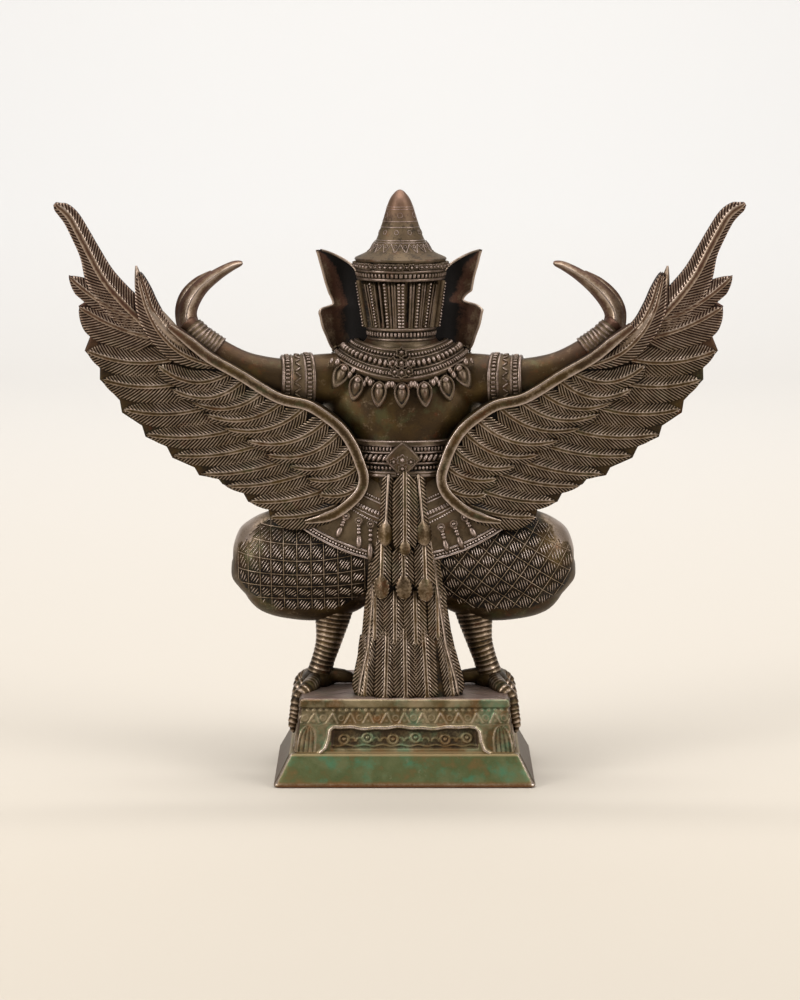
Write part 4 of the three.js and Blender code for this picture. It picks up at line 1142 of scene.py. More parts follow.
ARM_BAND = (57, 77)
WRIST_BAND = (117, 133)
ZIGZAG_SLOPE = 1.2
ARM_BAND_ROWS = [
    (-0.015, -1, 0.1),
    (0, 1.4, 0.6),
    (0.03, 1.9, 0.9),
    (0.08, 1.9, 0.9),
    (0.1, 1.1, 0.08),
    (0.27, 1.1, 0.08),
    (0.29, 1.8, 0.85),
    (0.33, 1.8, 0.85),
    (0.35, 1.1, 0.08),
    (0.65, 1.1, 0.08),
    (0.67, 1.8, 0.85),
    (0.71, 1.8, 0.85),
    (0.73, 1.1, 0.08),
    (0.9, 1.1, 0.08),
    (0.92, 2, 0.9),
    (0.98, 2, 0.9),
    (1, 1.4, 0.6),
    (1.015, -1, 0.1),
]


def wrist_rows(lines=8):
    rows = [(-0.015, -1, 0.1), (0, 1, 0.6)]
    for i in range(lines):
        start = (i + 0.08) / lines
        rows += [(start, 1.2, 0.85), (start + 0.4 / lines, 1.2, 0.85), (start + 0.5 / lines, 0.75, 0.08)]
        rows.append((start + 0.9 / lines, 0.75, 0.08))
    return rows + [(1, 1.1, 0.8), (1.015, -1, 0.1)]


# The skin of an arm by its angle and its place along x, for the rows of beads on its bands.
def on_arm(side):
    def place(degrees, x):
        degrees, x = np.broadcast_arrays(np.asarray(degrees, float), np.asarray(x, float))
        y, z, wide, deep = row_at(ARM, x)
        ahead = row_at(ARM, x + 0.5)
        run = np.stack([0.5 + 0 * x, ahead[0] - y, ahead[1] - z], -1)
        run /= np.linalg.norm(run, axis=-1, keepdims=True)
        across = np.cross([0, 1, 0], run)
        across /= np.linalg.norm(across, axis=-1, keepdims=True)
        a = np.radians(degrees)[..., None]
        centre = np.stack([x, y, z], -1)
        through = np.cross(run, across)
        spot = centre + across * wide[..., None] * np.cos(a) + through * deep[..., None] * np.sin(a)
        return at(side * spot[..., 0], spot[..., 1], spot[..., 2])

    return place


# Rows of beads stand away from the arm's own middle line, not from the figure's.
def arm_rows(side):
    place = on_arm(side)
    made = []
    first, last = ARM_BAND
    for share, zigzag in ((0.185, 0), (0.815, 0), (0.5, 1)):
        x = first + (last - first) * share
        count = 30 if zigzag else 40
        degrees = np.arange(count) * 360 / count
        points = place(degrees, x + 0 * degrees)
        middle = points.mean(0)
        out = (points - middle) / np.linalg.norm(points - middle, axis=1, keepdims=True)
        around = np.roll(points, -1, 0) - np.roll(points, 1, 0)
        around /= np.linalg.norm(around, axis=1, keepdims=True)
        turns = np.where(np.arange(count) % 2, 1, -1) * ZIGZAG_SLOPE * zigzag
        lean = around + turns[:, None] * np.array([side, 0, 0.0])
        size = (4.2, 0.9, 2.2) if zigzag else (1.7, 3, 2.6)
        made.append(set_out(points + out * 1.2 * MM, out, lean, size, square_bead))
    return made


def bands(side):
    plain = [sleeve(ARM, *ARM_BAND, ARM_BAND_ROWS, side), sleeve(ARM, *WRIST_BAND, wrist_rows(), side)]
    return dulled([*plain, *arm_rows(side)], 0.5, 0.26)


arm_bands = join([bands(side) for side in SIDES])
tell("arm bands", arm_bands)

# %% [markdown]
# The shank under each folded leg is a bird's: ring upon ring of scales. Three ribbed toes run out from
# each foot over the plinth's end and grip it with their claws.

# %% Shanks and toes
SHANK = [
    (43.5, -3, 54, 13, 13),
    (46, -3, 40, 11, 11),
    (48.6, -2, 26, 8.3, 8.5),
    (52.5, -2, 13, 7.4, 8),
    (56, -2, 0, 9, 11),
]
SCALE_PITCH = 3.1
SCALE_DEPTH = 0.55
TOE_SCALE_DEPTH = 0.9
TOE_RADIUS = 4.6
TOE_SPREAD = 28
CLAW_DROP = 26
BLOCK_WIDTH = 139
BLOCK_HEIGHT = 35
END_BATTER = 9


# A saw tooth from 0 to 1, the lap of one scale over the next.
def lap(distance, pitch):
    return (distance / pitch) % 1.0


def scaled_bar(points, wide, deep, pitch, depth, sides=28):
    run = np.concatenate([[0], np.cumsum(np.linalg.norm(np.diff(points, axis=0), axis=1))]) / MM
    rise = depth * (lap(run, pitch) ** 0.6 - 0.5)
    return bar(points, wide + rise, deep + rise, sides, relief=0.15 + 0.7 * lap(run, pitch)[:, None])


def shank(side):
    x, y, z, wide, deep = smooth_rows(SHANK, 90).T
    return scaled_bar(at(side * x, y, z), wide, deep, SCALE_PITCH, SCALE_DEPTH)


# Half the block's width at a drop below the plinth's top. Its ends draw in upwards.
def end_at(drop):
    return (BLOCK_WIDTH - END_BATTER * (1 - drop / BLOCK_HEIGHT)) / 2


def toe(side, place):
    spread = place * TOE_SPREAD
    stations = [
        (end_at(0) - 1.74 * TOE_RADIUS, spread * 0.2, TOE_RADIUS * 0.78, 1.2),
        (end_at(0) - 0.65 * TOE_RADIUS, spread * 0.8, TOE_RADIUS * 0.33, 1),
        (end_at(0) + 0.54 * TOE_RADIUS, spread, -TOE_RADIUS * 0.76, 0.92),
        (end_at(CLAW_DROP * 0.5) + 0.5 * TOE_RADIUS, spread, -CLAW_DROP * 0.5, 0.9),
        (end_at(CLAW_DROP * 0.8) + 0.75 * TOE_RADIUS, spread, -CLAW_DROP * 0.8, 0.62),
        (end_at(CLAW_DROP) + 0.5 * TOE_RADIUS, spread, -CLAW_DROP, 0.15),
    ]
    rows = smooth_rows(stations, 60)
    points = np.stack([side * rows[:, 0], rows[:, 1], PLINTH_TOP + rows[:, 2]], -1) * MM
    size = TOE_RADIUS * rows[:, 3]
    return scaled_bar(points, size, size, SCALE_PITCH, TOE_SCALE_DEPTH, 20)


feet = join([shank(side) for side in SIDES] + [toe(side, place) for side in SIDES for place in (-1, 0, 1)])
tell("shanks and toes", feet)

# %% [markdown]
# The tail falls behind the legs to the plinth and props the figure up. Four tiers of feathers lap over it
# like tiles, most with a plain rounded tip, and narrow ones stand on edge at its sides.

# %% Tail
TAIL = [
    (142, 17, 9, 20, 0),
    (96, 19, 10, 22.5, -0.3),
    (60, 23, 11, 25, -1.1),
    (30, 27, 12, 27.5, -1.8),
    (8, 33, 13, 29.5, -2.3),
    (-3, 34.8, 14, 30, -2.4),
]
LOWEST_TIER = [
    (-25, 40, -31, -3, 5.4),
    (22, 40, 25.5, -3, 6.2),
    (-12, 42, -14.5, -3, 7.2),
    (10.5, 42, 12.2, -3, 7.2),
    (-0.5, 42, -0.8, -3, 7.6),
]
TIERS = [
    [(-21, 70, -21.5, 34, 6), (-7, 66, -7.5, 31, 7.4), (5.5, 66, 5.7, 31.5, 7.4), (18, 68, 18.6, 33.5, 6)],
    [(-13, 98, -14.1, 58.6, 6.6), (0, 96, -0.2, 60, 7.2), (13, 98, 14.3, 60, 6.6)],
]
SIDE_PLUMES = [(116, 58, 3.6), (66, 26, 4.4), (36, -2, 4.8)]
SIDE_SHARE = 0.92
TOP_FEATHER = (-1.5, 141, -1.1, 87.5, 7.8)
SIDE_BUDS = [(8.8, 139, 11.8, 93), (-9.8, 139, -13.8, 93)]
TIER_BUD, SIDE_BUD, TOP_BUD = (5.4, 15), (5.4, 16), (3.8, 10)
TAIL_STEPS = 90
TAIL_THICK = 4
TIER_LIFT = 2.1


def on_tail(plan, height):
    x, z = plan[:, 0], plan[:, 1]
    wide, deep, y, middle = row_at(TAIL, z)
    curve = deep * np.sqrt(np.maximum(1 - ((x - middle) / wide) ** 4, 0.2))
    return at(x, y + curve + height, z)


# A straight line of stations from a root to a tip, each with the same width to both sides.
def straight(root_x, root_z, tip_x, tip_z, wide):
    x, z = np.linspace((root_x, root_z), (tip_x, tip_z), len(wide)).T
    return np.column_stack([x, z, wide, wide])


def hanging_feather(row, lift, bud, tip):
    *ends, half = row
    wide = half * leaf_taper(np.linspace(0, 1, TAIL_STEPS), 0.85, 0.3, tip, 0.45)
    return feather(on_tail, straight(*ends, wide), lift, TAIL_THICK, tilt=-0.5, bud=bud, shaft=1.35)


# The narrow pair beside the top feather, each with a broad bud at its end.
def bud_feather(ends):
    t = np.linspace(0, 1, TAIL_STEPS)
    wide = 3.8 + 1.8 * soft_step(t, 0.55, 0.8)
    wide = wide * np.sqrt(np.clip(1 - (np.clip(t - 0.8, 0, 1) / 0.2) ** 2, 0, 1)) + 0.2
    return feather(on_tail, straight(*ends, wide), 3.4, TAIL_THICK, tilt=-0.5, bud=SIDE_BUD, shaft=0.9)


def side_plume(side, top, foot, half):
    z = np.linspace(top, foot, 60)
    wide = half * leaf_taper(np.linspace(0, 1, 60), 0.5, 0.3, 0.8, 0.6)
    half_tail, _, _, middle = row_at(TAIL, z)
    line = np.column_stack([middle + side * SIDE_SHARE * half_tail, z, wide, wide])
    return feather(on_tail, line, 1.2, 5, tilt=0.4, shaft=1.0)


def tail():
    made = [upright(TAIL, 72, 60, 3, 0.25)]
    made += [hanging_feather(row, 0.8 + 0.3 * i, None, 0.94) for i, row in enumerate(LOWEST_TIER)]
    for level, tier in enumerate(TIERS):
        lift = TIER_LIFT * (level + 0.7)
        tier_bud = TIER_BUD if level else None
        made += [hanging_feather(row, lift + 0.3 * (i % 2), tier_bud, 0.86) for i, row in enumerate(tier)]
    made += [side_plume(side, *row) for side in SIDES for row in SIDE_PLUMES]
    made += [bud_feather(ends) for ends in SIDE_BUDS]
    made.append(hanging_feather(TOP_FEATHER, 6.2, TOP_BUD, 0.74))
    return join(made)


tail_piece = tail()
tell("tail", tail_piece)

# %% [markdown]
# A short skirt is drawn tight over the hips. In the wax it is a thin sheet laid on, with rows of beads and a
# beaded hem. One function gives every place on it, so that beads and threads follow the same sheet.

# %% Skirt
SKIRT_TOP_Z = 138
HEM_Z = 84
HEM_RISE = 20
SKIRT_HALF_WIDTH = 33
HEM_SPREAD = 29
SKIRT_THICKNESS = 7.8


def skirt_point(facing):
    def place(u, t):
        u, t = np.broadcast_arrays(np.asarray(u, float), np.asarray(t, float))
        reach = 29.5 - 5 * u**4 if facing > 0 else 31 - 5 * u**2
        x = SKIRT_HALF_WIDTH * u + HEM_SPREAD * u * t
        y = facing * ((25 - 10 * u**2) * (1 - t) + reach * t + 3 * np.sin(np.pi * np.clip(t, 0, 1)))
        return at(x, y + 2 * (1 - t), SKIRT_TOP_Z + (HEM_Z + HEM_RISE * u**2 - SKIRT_TOP_Z) * t)

    return place


def skirt(facing):
    place = skirt_point(facing)
    u, t = np.meshgrid(np.linspace(-1, 1, 90), np.linspace(0, 1.03, 40), indexing="ij")
    outer = place(u, t)
    inner = outer - np.array([0, facing * SKIRT_THICKNESS * MM, 0])
    made = [plate(inner, outer, 0.32)]
    for side in SIDES:
        u = side * np.linspace(0.22, 1, 40)
        inner_part = side * np.linspace(0.24, 0.72, 20)
        s = np.abs(inner_part)
        made.append(row_on(place, inner_part, 0.38 - 0.22 * s, 1.7, bead, (1.5, 1.5, 1.5)))
        made.append(line_on(place, inner_part, 0.42 - 0.22 * s, 0.45, 0.3))
        made.append(row_on(place, inner_part, 0.53 - 0.19 * s, 2.1, square_bead, (1.7, 2.6, 2.4)))
        made.append(line_on(place, inner_part, 0.6 - 0.22 * s, 0.4, 0.2))
        made.append(row_on(place, inner_part, 0.67 - 0.26 * s, 1.7, bead, (1.5, 1.5, 1.5)))
        made.append(line_on(place, u, 0.945, 0.75, 0.4))
        made.append(row_on(place, u, 0.985, 2.0, bead, (1.7, 1.7, 1.8), 0.4))
        made.append(line_on(place, u, 1.025, 0.85, 0.4))
    return made


skirt_sheets = join([*skirt(BACK), *skirt(FRONT)])
tell("skirt", skirt_sheets)

# %% [markdown]
# Tassels hang from small rings on the skirt behind, each a few beads over a bound tuft. In front a pleated
# loincloth hangs between the knees.

# %% Tassels and loincloth
LOINCLOTH = [
    (140, 12, 27),
    (118, 13, 33),
    (88, 15, 34.5),
    (58, 17, 30),
    (34, 20, 27),
    (24, 21, 26),
]
PLEAT = 2
TASSELS = {
    1: [(36, 112, 42, 98), (28, 109, 28, 91), (20.5, 107, 21, 83)],
    -1: [(24, 105, 28, 89), (32, 107, 37.5, 91), (39, 111, 46, 98)],
}


# Finds the skirt's place at drawn x and z, step by step.
def skirt_spot(place, x, z):
    u, t = 0.5 * np.sign(x), 0.6
    for _ in range(12):
        t = (SKIRT_TOP_Z - z) / (SKIRT_TOP_Z - HEM_Z - HEM_RISE * u**2)
        u = x / (SKIRT_HALF_WIDTH + HEM_SPREAD * t)
    return place(u, t)


def tassels():
    place = skirt_point(BACK)
    made = []
    for side, rows in TASSELS.items():
        for x, z, tip_x, tip_z in rows:
            start = skirt_spot(place, side * x, z)
            end = skirt_spot(place, side * tip_x, tip_z)
            out = np.array([0.0, 1.0, 0.15])
            down = end - start
            spots = start + down * np.array([0.0, 0.17, 0.3, 0.42])[:, None] + out * 1.2 * MM
            turn = np.linspace(0, 6.4, 14)
            ring = start + 2.0 * MM * np.stack([np.cos(turn), 0 * turn + 0.7, np.sin(turn)], -1)
            made.append(cord([ring + out * 0.5 * MM], 0.7, 0.7))
            made.append(set_out(spots, out, down, (2.3, 2.9, 2.6), bead))
            long = np.linalg.norm(down) / MM * 0.6
            made.append(set_out([start + down * 0.72 + out * 0.9 * MM], out, down, (long, 4.4, 4), stroke))
    return made


def loincloth():
    rows = smooth_rows(LOINCLOTH, 60)
    share = np.linspace(-1, 1, 65)
    pleat = PLEAT * 0.5 * (1 - np.cos(np.pi * 4 * (share + 1)))
    point = 6 * np.abs(np.abs(share) - 0.5) * np.clip((40 - rows[:, 0, None]) / 16, 0, 1)
    x, out, z = rows[:, 1, None] * share, rows[:, 2, None] + pleat, rows[:, 0, None] + point
    sheets = [at(x, -out, z), at(x, -rows[:, 2, None] + 8 + 0 * x, z)]
    tone = 0.2 + 0.35 * pleat
    tone = np.broadcast_to(tone, x.shape).ravel()
    return plate(*sheets, relief=np.concatenate([tone, tone * 0]))


skirt_piece = join([skirt_sheets, dulled(tassels(), 0.85), loincloth()])
tell("skirt and loincloth", skirt_piece)

# %% [markdown]
# The belt is built of rows between raised lines: small beads, a rope of larger ones, and square beads, with
# a plain strip on top. A kite-shaped plate with a flower hides its joint behind, and a buckle in front.

# %% Belt
BELT = [
    (136.2, 0, 0.3),
    (136.6, 2.4, 0.7),
    (138.2, 2.9, 0.95),
    (138.7, 2.0, 0.1),
    (139.3, 2.7, 0.9),
    (140, 2.7, 0.9),
    (140.4, 1.6, 0.08),
    (144.6, 1.6, 0.08),
    (145, 2.9, 0.9),
    (145.8, 2.9, 0.9),
    (146.2, 1.3, 0.05),
    (151.2, 1.3, 0.05),
    (151.6, 2.9, 0.9),
    (152.4, 2.9, 0.9),
    (152.8, 1.7, 0.08),
    (155.8, 1.7, 0.08),
    (156.2, 3.1, 1),
    (157.2, 2.7, 0.5),
    (158.4, 2.6, 0.5),
    (159.3, 2.5, 0.95),
    (159.8, 0, 0.3),
]
SMALL_BEADS_Z = 142.5
ROPE_Z = 148.7
ROPE_PITCH = 3.3
SQUARE_BEADS_Z = 154.3
BUCKLE_Z = 147
KITE = [(1, -0.5, 0.2), (1, 0.3, 0.7), (0.9, 0.42, 0.8), (0.8, 0.3, 0.35), (0.2, 0.42, 0.4)]
KITE_FLOWERS = [
    (0, -0.5, 7),
    (-5.4, -1.6, 5),
    (5.4, -1.6, 5),
    (0, -6, 5.6),
    (-2.6, -9.4, 3.4),
    (2.6, -9.4, 3.4),
]
AROUND = np.linspace(0, 360, 145)[:-1]


def round_body(table, proud_rows):
    def place(degrees, z):
        wide, deep, y = row_at(table, z)
        proud = np.interp(z, [row[0] for row in proud_rows], [row[1] for row in proud_rows])
        a = np.radians(degrees)
        return at((wide + proud) * np.sin(a), y + (deep + proud) * np.cos(a), z)

    return place


def belt():
    place = round_body(BODY, BELT)
    made = [surface_loft(place, AROUND, [row[0] for row in BELT], [[row[2]] for row in BELT])]
    once = np.array([0, 359])
    made.append(row_on(place, once, SMALL_BEADS_Z, 2.5, bead, (2.3, 2.6, 2.8)))
    for way in SIDES:
        a, b = paced(place, way * np.array([12, 176]), ROPE_Z, ROPE_PITCH)
        points, facing, *_ = frames(place, a, b)
        lean = np.gradient(points, axis=0) / MM / ROPE_PITCH + way * np.array([0, 0, 0.75])
        made.append(set_out(points + facing * 0.2 * MM, facing, lean, (2.9, 6, 5), bead, 0.1))
    made.append(row_on(place, once, SQUARE_BEADS_Z, 2.3, square_bead, (1.6, 2.8, 2.6)))
    for behind in (BACK, FRONT):
        half = 11 if behind > 0 else 14
        centre = at(0, 0, BUCKLE_Z + 1.5) + np.array([0, behind * (31.2 if behind > 0 else 25.5) * MM, 0])
        out, up = np.array([0.0, behind, 0.0]), np.array([0.0, 0.0, 1.0])
        kite = ornament("kite", stepped(rounded_outline(32, 1.15), KITE))
        made.append(set_out([centre], out, up, (2 * half, 2 * half, 7), kite, 0))
        for x, z, size in KITE_FLOWERS:
            spot = centre + (out * 1.7 + up * z + np.array([x, 0, 0])) * MM
            made.append(set_out([spot], out, up, (size, size, 6), rosette, 0))
            made.append(set_out([spot + out * 0.6 * MM], out, up, (size * 0.36, size * 0.36, 4), bead, 0))
    return dulled(made, 0.78, 0.06)


belt_piece = belt()
tell("belt", belt_piece)

# %% [markdown]
# The collar is a sloping cape of beadwork: threads, two rows of fine beads and one of large ones, and bud
# pendants under the rim with small curls between them.

# %% Collar
COLLAR_NECK = 21
COLLAR_HALF_WIDTH = 44
COLLAR_HALF_DEPTH = 30.5
COLLAR_TOP_Z = 225
COLLAR_SIDE_Z = 211
COLLAR_BACK_DROP = 13
COLLAR_FRONT_DROP = 22
RIM_SLOPE = 30
PENDANTS = [
    (0, 190, 0),
    (14, 190.5, 4),
    (27.7, 194, 13),
    (38.5, 201, 28),
]
COLLAR_RELIEF = (0.1, 0.6, 0.3, 0.15, 0.15, 0.3, 0.6, 0.2, 0.1)
COLLAR_THREADS = ((0.34, 0.6), (0.52, 0.35), (0.77, 0.45), (0.97, 0.7))
# Rows of beads: share of the way to the rim, pitch, what, its size, how high it sits and how much it varies.
COLLAR_BEADS = [
    (0.44, 2.1, bead, (1.7, 2.2, 2.6), 1.0, 0.12),
    (0.65, 3.3, bead, (3.0, 4.8, 5), 1.1, 0.1),
    (0.87, 1.9, square_bead, (1.5, 2.6, 2.6), 1.1, 0.12),
]


def on_collar(degrees, share):
    a = np.radians(degrees)
    behind = np.cos(a)
    fall = np.where(behind > 0, COLLAR_BACK_DROP, COLLAR_FRONT_DROP) * behind**2
    wide = COLLAR_NECK + (COLLAR_HALF_WIDTH - COLLAR_NECK) * share
    deep = COLLAR_NECK + (COLLAR_HALF_DEPTH - COLLAR_NECK) * share
    z = COLLAR_TOP_Z + (COLLAR_SIDE_Z - fall - COLLAR_TOP_Z) * np.clip(share, None, 1)
    return at(wide * np.sin(a), deep * behind - 1, z - RIM_SLOPE * np.clip(share - 1, 0, 1))


# The pendants lie on the back and hang a little outwards. Small curls fill the gaps between their shoulders.
def pendants(facing):
    made = []
    spots = [(side * x, z, side * tilt) for x, z, tilt in PENDANTS for side in SIDES if x or side > 0]
    for x, z, tilt in spots:
        down = np.array([math.sin(math.radians(tilt)), 0, -math.cos(math.radians(tilt))])
        places, outs, _ = touch(x, z + (6 if facing < 0 else 0), facing)
        out = outs[0] + np.array([0, 0.3 * facing, 0])
        aside = np.cross(down, out)
        centre = places[0] + out * 1.2 * MM
        made.append(set_out([centre], out, down, (17.5, 12.5, 6.5), bud, 0))
        made.append(set_out([centre + (out * 1.6 - down * 3.6) * MM], out, down, (4, 4.6, 3), bead, 0))
        for way in SIDES:
            curl = aside * way * 4.6 - down * 5.4 + out * 0.6
            made.append(set_out([centre + curl * MM], out, down, (5, 3.4, 4), bead))
            curl = aside * way * 7.4 - down * 4.4
            made.append(set_out([centre + curl * MM], out, down, (4.6, 2.2, 3), bead))
    return made


def collar():
    shares = [0.3, 0.33, 0.5, 0.8, 0.95, 1.0]
    rings = [on_collar(AROUND, np.full(len(AROUND), share)) + [0, 0, 1.0 * MM] for share in shares]
    rings.insert(0, rings[0] * [0.9, 0.9, 1] - [0, 0, 8 * MM])
    rings.append(rings[-1] - [0, 0, 2.4 * MM])
    rings.append(on_collar(AROUND, np.full(len(AROUND), 0.7)) - [0, 0, 6 * MM])
    made = [loft(rings, [[tone] for tone in COLLAR_RELIEF])]
    once = np.array([0, 359.0])
    made += [line_on(on_collar, once, share, radius, 1.2, 0.8) for share, radius in COLLAR_THREADS]
    made += [row_on(on_collar, once, *row) for row in COLLAR_BEADS]
    for facing, middle in ((BACK, 0), (FRONT, 180)):
        made += pendants(facing)
        turns = np.array([0, -8.5, 8.5, 0, 0, -6, 6.0]) + middle
        shares = np.array([0.4, 0.62, 0.62, 0.64, 0.86, 0.84, 0.84])
        points, out, _, down = frames(on_collar, turns, shares)
        made.append(set_out(points + out * 1.6 * MM, out, down, (6.4, 6.4, 7), rosette, 0.15))
        made.append(set_out(points + out * 2.4 * MM, out, down, (2.6, 2.6, 5), bead, 0.15))
    return dulled(made, 0.72, 0.08)


collar_piece = collar()
tell("collar", collar_piece)

# %% [markdown]
# The crown is a drum that widens upwards. Beaded ribs run up it between two bands, and above them come a
# plain dome and a tall cone whose tip shines where hands have rubbed it. Big leaf-shaped flares cup the
# ears, and pointed leaves stand round the brow.

# %% Crown
DRUM = [
    (211, 21.2, 20.6, 0, 0.3),
    (213.5, 21.8, 21.2, 0, 0.5),
    (217.5, 22.3, 21.7, 0, 0.75),
    (220.8, 21.6, 21.2, 0, 0.5),
    (221.5, 20.4, 20, 0, 0.1),
    (221.9, 21.6, 21.4, 0, 0.7),
    (222.9, 21.8, 21.6, 0, 0.8),
    (223.3, 20.9, 20.8, -0.2, 0.12),
    (227.8, 21.4, 21.2, -0.5, 0.12),
    (228.2, 22.4, 22.2, -0.6, 0.7),
    (229.4, 22.6, 22.4, -0.8, 0.8),
    (229.9, 18.6, 19, -1.4, 0.0),
    (259, 24.2, 24.8, -4, 0.0),
    (259.6, 28, 28.4, -4, 0.8),
    (261, 28.4, 28.6, -4, 0.85),
    (261.4, 27.4, 27.8, -4, 0.14),
    (264.8, 28.2, 28.3, -3.7, 0.14),
    (265.2, 28.6, 28.6, -3.6, 0.8),
    (266.2, 28.8, 28.7, -3.6, 0.85),
    (266.6, 28, 27.9, -3.5, 0.14),
    (271.4, 28.6, 28.3, -3.2, 0.2),
    (272.2, 29.3, 28.9, -3, 0.6),
    (273.2, 28.9, 28.6, -3, 0.6),
]
DOME = [
    (273.2, 28.9, 28.6, -3),
    (274.2, 26.8, 26.4, -2.6),
    (276.4, 22.2, 21.9, -1.7),
    (279, 18.9, 18.7, -0.8),
    (283, 16.1, 16, 0),
    (288, 13.9, 13.9, 0),
    (295, 11.5, 11.5, 0),
    (302, 9.4, 9.4, 0),
    (307, 7.8, 7.8, 0),
    (311, 6, 6, 0),
    (314, 3.7, 3.7, 0),
    (315.6, 1.9, 1.9, 0),
    (316.2, 0.3, 0.3, 0),
]
BEAD_RIBS = (-70, -45, -26, -2.8, 2.8, 23, 47, 70)
STRIPS = (-60, -53, -36, -32, -18.5, -14.5, 8.5, 12, 17, 31.5, 40, 54, 61)
# Slots in the drum: no cut is made, and the drum is painted near black at these angles, a painted shade for
# deep slots.
SHADED_SLOTS = ((11, 6), (-37, 5), (65, 3.5), (37, 3), (-13, 4), (-60, 3))
RIB_FOOT, RIB_TOP = 229.6, 259.6
CONE_LINES = (305.4, 304, 296.4, 292.8, 284.6, 283.2)
# Rows of small thread rings on dome and cone: height, radius, first angle and the turn to the next.
CONE_RINGS = ((289.6, 1.3, -170, 36), (281, 0.9, -170, 20), (300.2, 1.5, -180, 60))
PLAIN_FROM, PLAIN_FULL = 61.5, 64
PLAIN_WIDE, PLAIN_WIDENING = 22.8, 4.8
PLAIN_DEEP, PLAIN_DEEPENING = 22.6, 5.4


# From 0 behind, where the ribs are, to 1 on the plain sides and front.
def turned_away(degrees):
    return soft_step(np.abs((degrees + 180) % 360 - 180), PLAIN_FROM, PLAIN_FULL)


# Outside the ribs the drum is plain and stands out as far as its bands.
def crown_surface(table):
    def place(degrees, z):
        wide, deep, y = row_at(table, z)
        plain = turned_away(degrees) * (z > RIB_FOOT) * (z < RIB_TOP)
        share = (z - RIB_FOOT) / (RIB_TOP - RIB_FOOT)
        wide = wide + (PLAIN_WIDE + PLAIN_WIDENING * share - wide) * plain
        deep = deep + (PLAIN_DEEP + PLAIN_DEEPENING * share - deep) * plain
        a = np.radians(degrees)
        return at(wide * np.sin(a), y + deep * np.cos(a), z)

    return place


# A small ring of thread on the cone.
def ringlet(place, degrees, z, radius):
    turn = np.linspace(0, 2 * np.pi, 17)
    across = radius * np.cos(turn) / row_at(DOME, z)[0]
    points, facing, *_ = frames(place, degrees + np.degrees(across), z + radius * np.sin(turn))
    return points + facing * 0.1 * MM


def crown():
    dome = smooth_rows(DOME, 120)
    rows = np.concatenate([np.array(DRUM)[:, :4], dome[1:]])
    shine = 0.25 + 0.45 * soft_step(dome[1:, 0], 300, 312)
    tones = np.concatenate([np.array(DRUM)[:, 4], shine])
    tones = tones[:, None].repeat(len(AROUND), 1)
    place = crown_surface(rows)
    between = (rows[:, 0] > RIB_FOOT) & (rows[:, 0] < RIB_TOP)
    # Painted shade: between the ribs the drum goes near black at the slots.
    slot_shade = sum(hump(AROUND - slot % 360, half) for slot, half in SHADED_SLOTS)
    tones[between] = 0.36 * (1 - np.clip(slot_shade, 0, 1)) + 0.08 * turned_away(AROUND)
    made = [surface_loft(place, AROUND, rows[:, 0], tones)]
    once = np.array([0, 359])
    made.append(row_on(place, np.array([-95.0, 95.0]), 225.7, 2.4, square_bead, (1.7, 3, 2.8)))
    made.append(row_on(place, once, 263.1, 2.7, square_bead, (1.9, 2.8, 2.8)))
    made.append(row_on(place, once, 268.9, 3.1, rosette, (4.2, 3.4, 7), 0.2, 0.2))
    heights = np.linspace(RIB_FOOT + 0.4, RIB_TOP - 0.2, 12)
    for degrees in BEAD_RIBS:
        made.append(line_on(place, degrees, heights, 1.75, 0.7, 0.35))
        made.append(row_on(place, degrees, heights[:-1] + 1, 2.0, bead, (1.85, 2.2, 2.4), 2.2, 0.12))
    for degrees in STRIPS:
        made.append(line_on(place, degrees, heights, 0.75, 2.0, 0.7))
        made.append(line_on(place, degrees, heights, 0.75, 0.9, 0.2))
    made += [line_on(place, once, z, 0.28, 0.05, 0.95) for z in CONE_LINES]
    teeth = np.arange(-180, 181, 10.0)
    made.append(line_on(place, teeth, np.where(np.arange(len(teeth)) % 2, 277, 282.6), 0.28, 0.05, 0.95, 0.8))
    rings = []
    for z, radius, first, turn in CONE_RINGS:
        rings += [ringlet(place, degrees, z, radius) for degrees in range(first, 180, turn)]
    made.append(cord(rings, 0.26, 0.9, 5))
    return dulled(made, 0.86)


crown_piece = crown()
tell("crown", crown_piece)

# %% [markdown]
# Beside the crown stand the ear flares, two-lobed leaves that are cupped behind. They are dark inside,
# darkest towards the crown, with a light rounded rim. Five pointed leaves stand round the diadem's front.

# %% Ear flares and diadem
FLARE = [
    (211, 22, 39.5),
    (214, 20, 43),
    (217, 19, 45.2),
    (223, 18.6, 47.5),
    (229, 18.5, 49.8),
    (235, 18.5, 51),
    (238.6, 18.6, 51.8),
    (240.4, 19, 50.5),
    (241.8, 19.6, 45.4),
    (243.4, 20.4, 43.4),
    (248, 22, 44.6),
    (252, 23.6, 46),
    (258, 25.6, 47.8),
    (263, 27.4, 49),
    (267, 30, 50),
    (270, 34, 50.8),
    (272.6, 38.4, 51.4),
    (275, 43.2, 52),
    (277, 48, 52.6),
    (278, 51.8, 52.9),
]
FLARE_MIDDLE = 36
FLARE_FLOOR = -10.5
FLARE_CURVE = 0.043
FLARE_THICKNESS = 3.4
FLARE_STEPS = 150
CUP_STEPS = 17
CUP_RELIEF, CUP_RISE = -0.3, 0.86
RIM_RADIUS = 0.85
NOTCH_Z = 243.6
NOTCH_HALF = 6
NOTCH_RISE = {1: 0.0, -1: 2.2}
NOTCH_DEEPER = {1: 0.5, -1: 4.0}
LOBE_DRAW = {1: 0.0, -1: 1.8}
DIADEM_LEAVES = 5
DIADEM_TURN = 32
DIADEM_RADIUS = 29
DIADEM_Z = 262


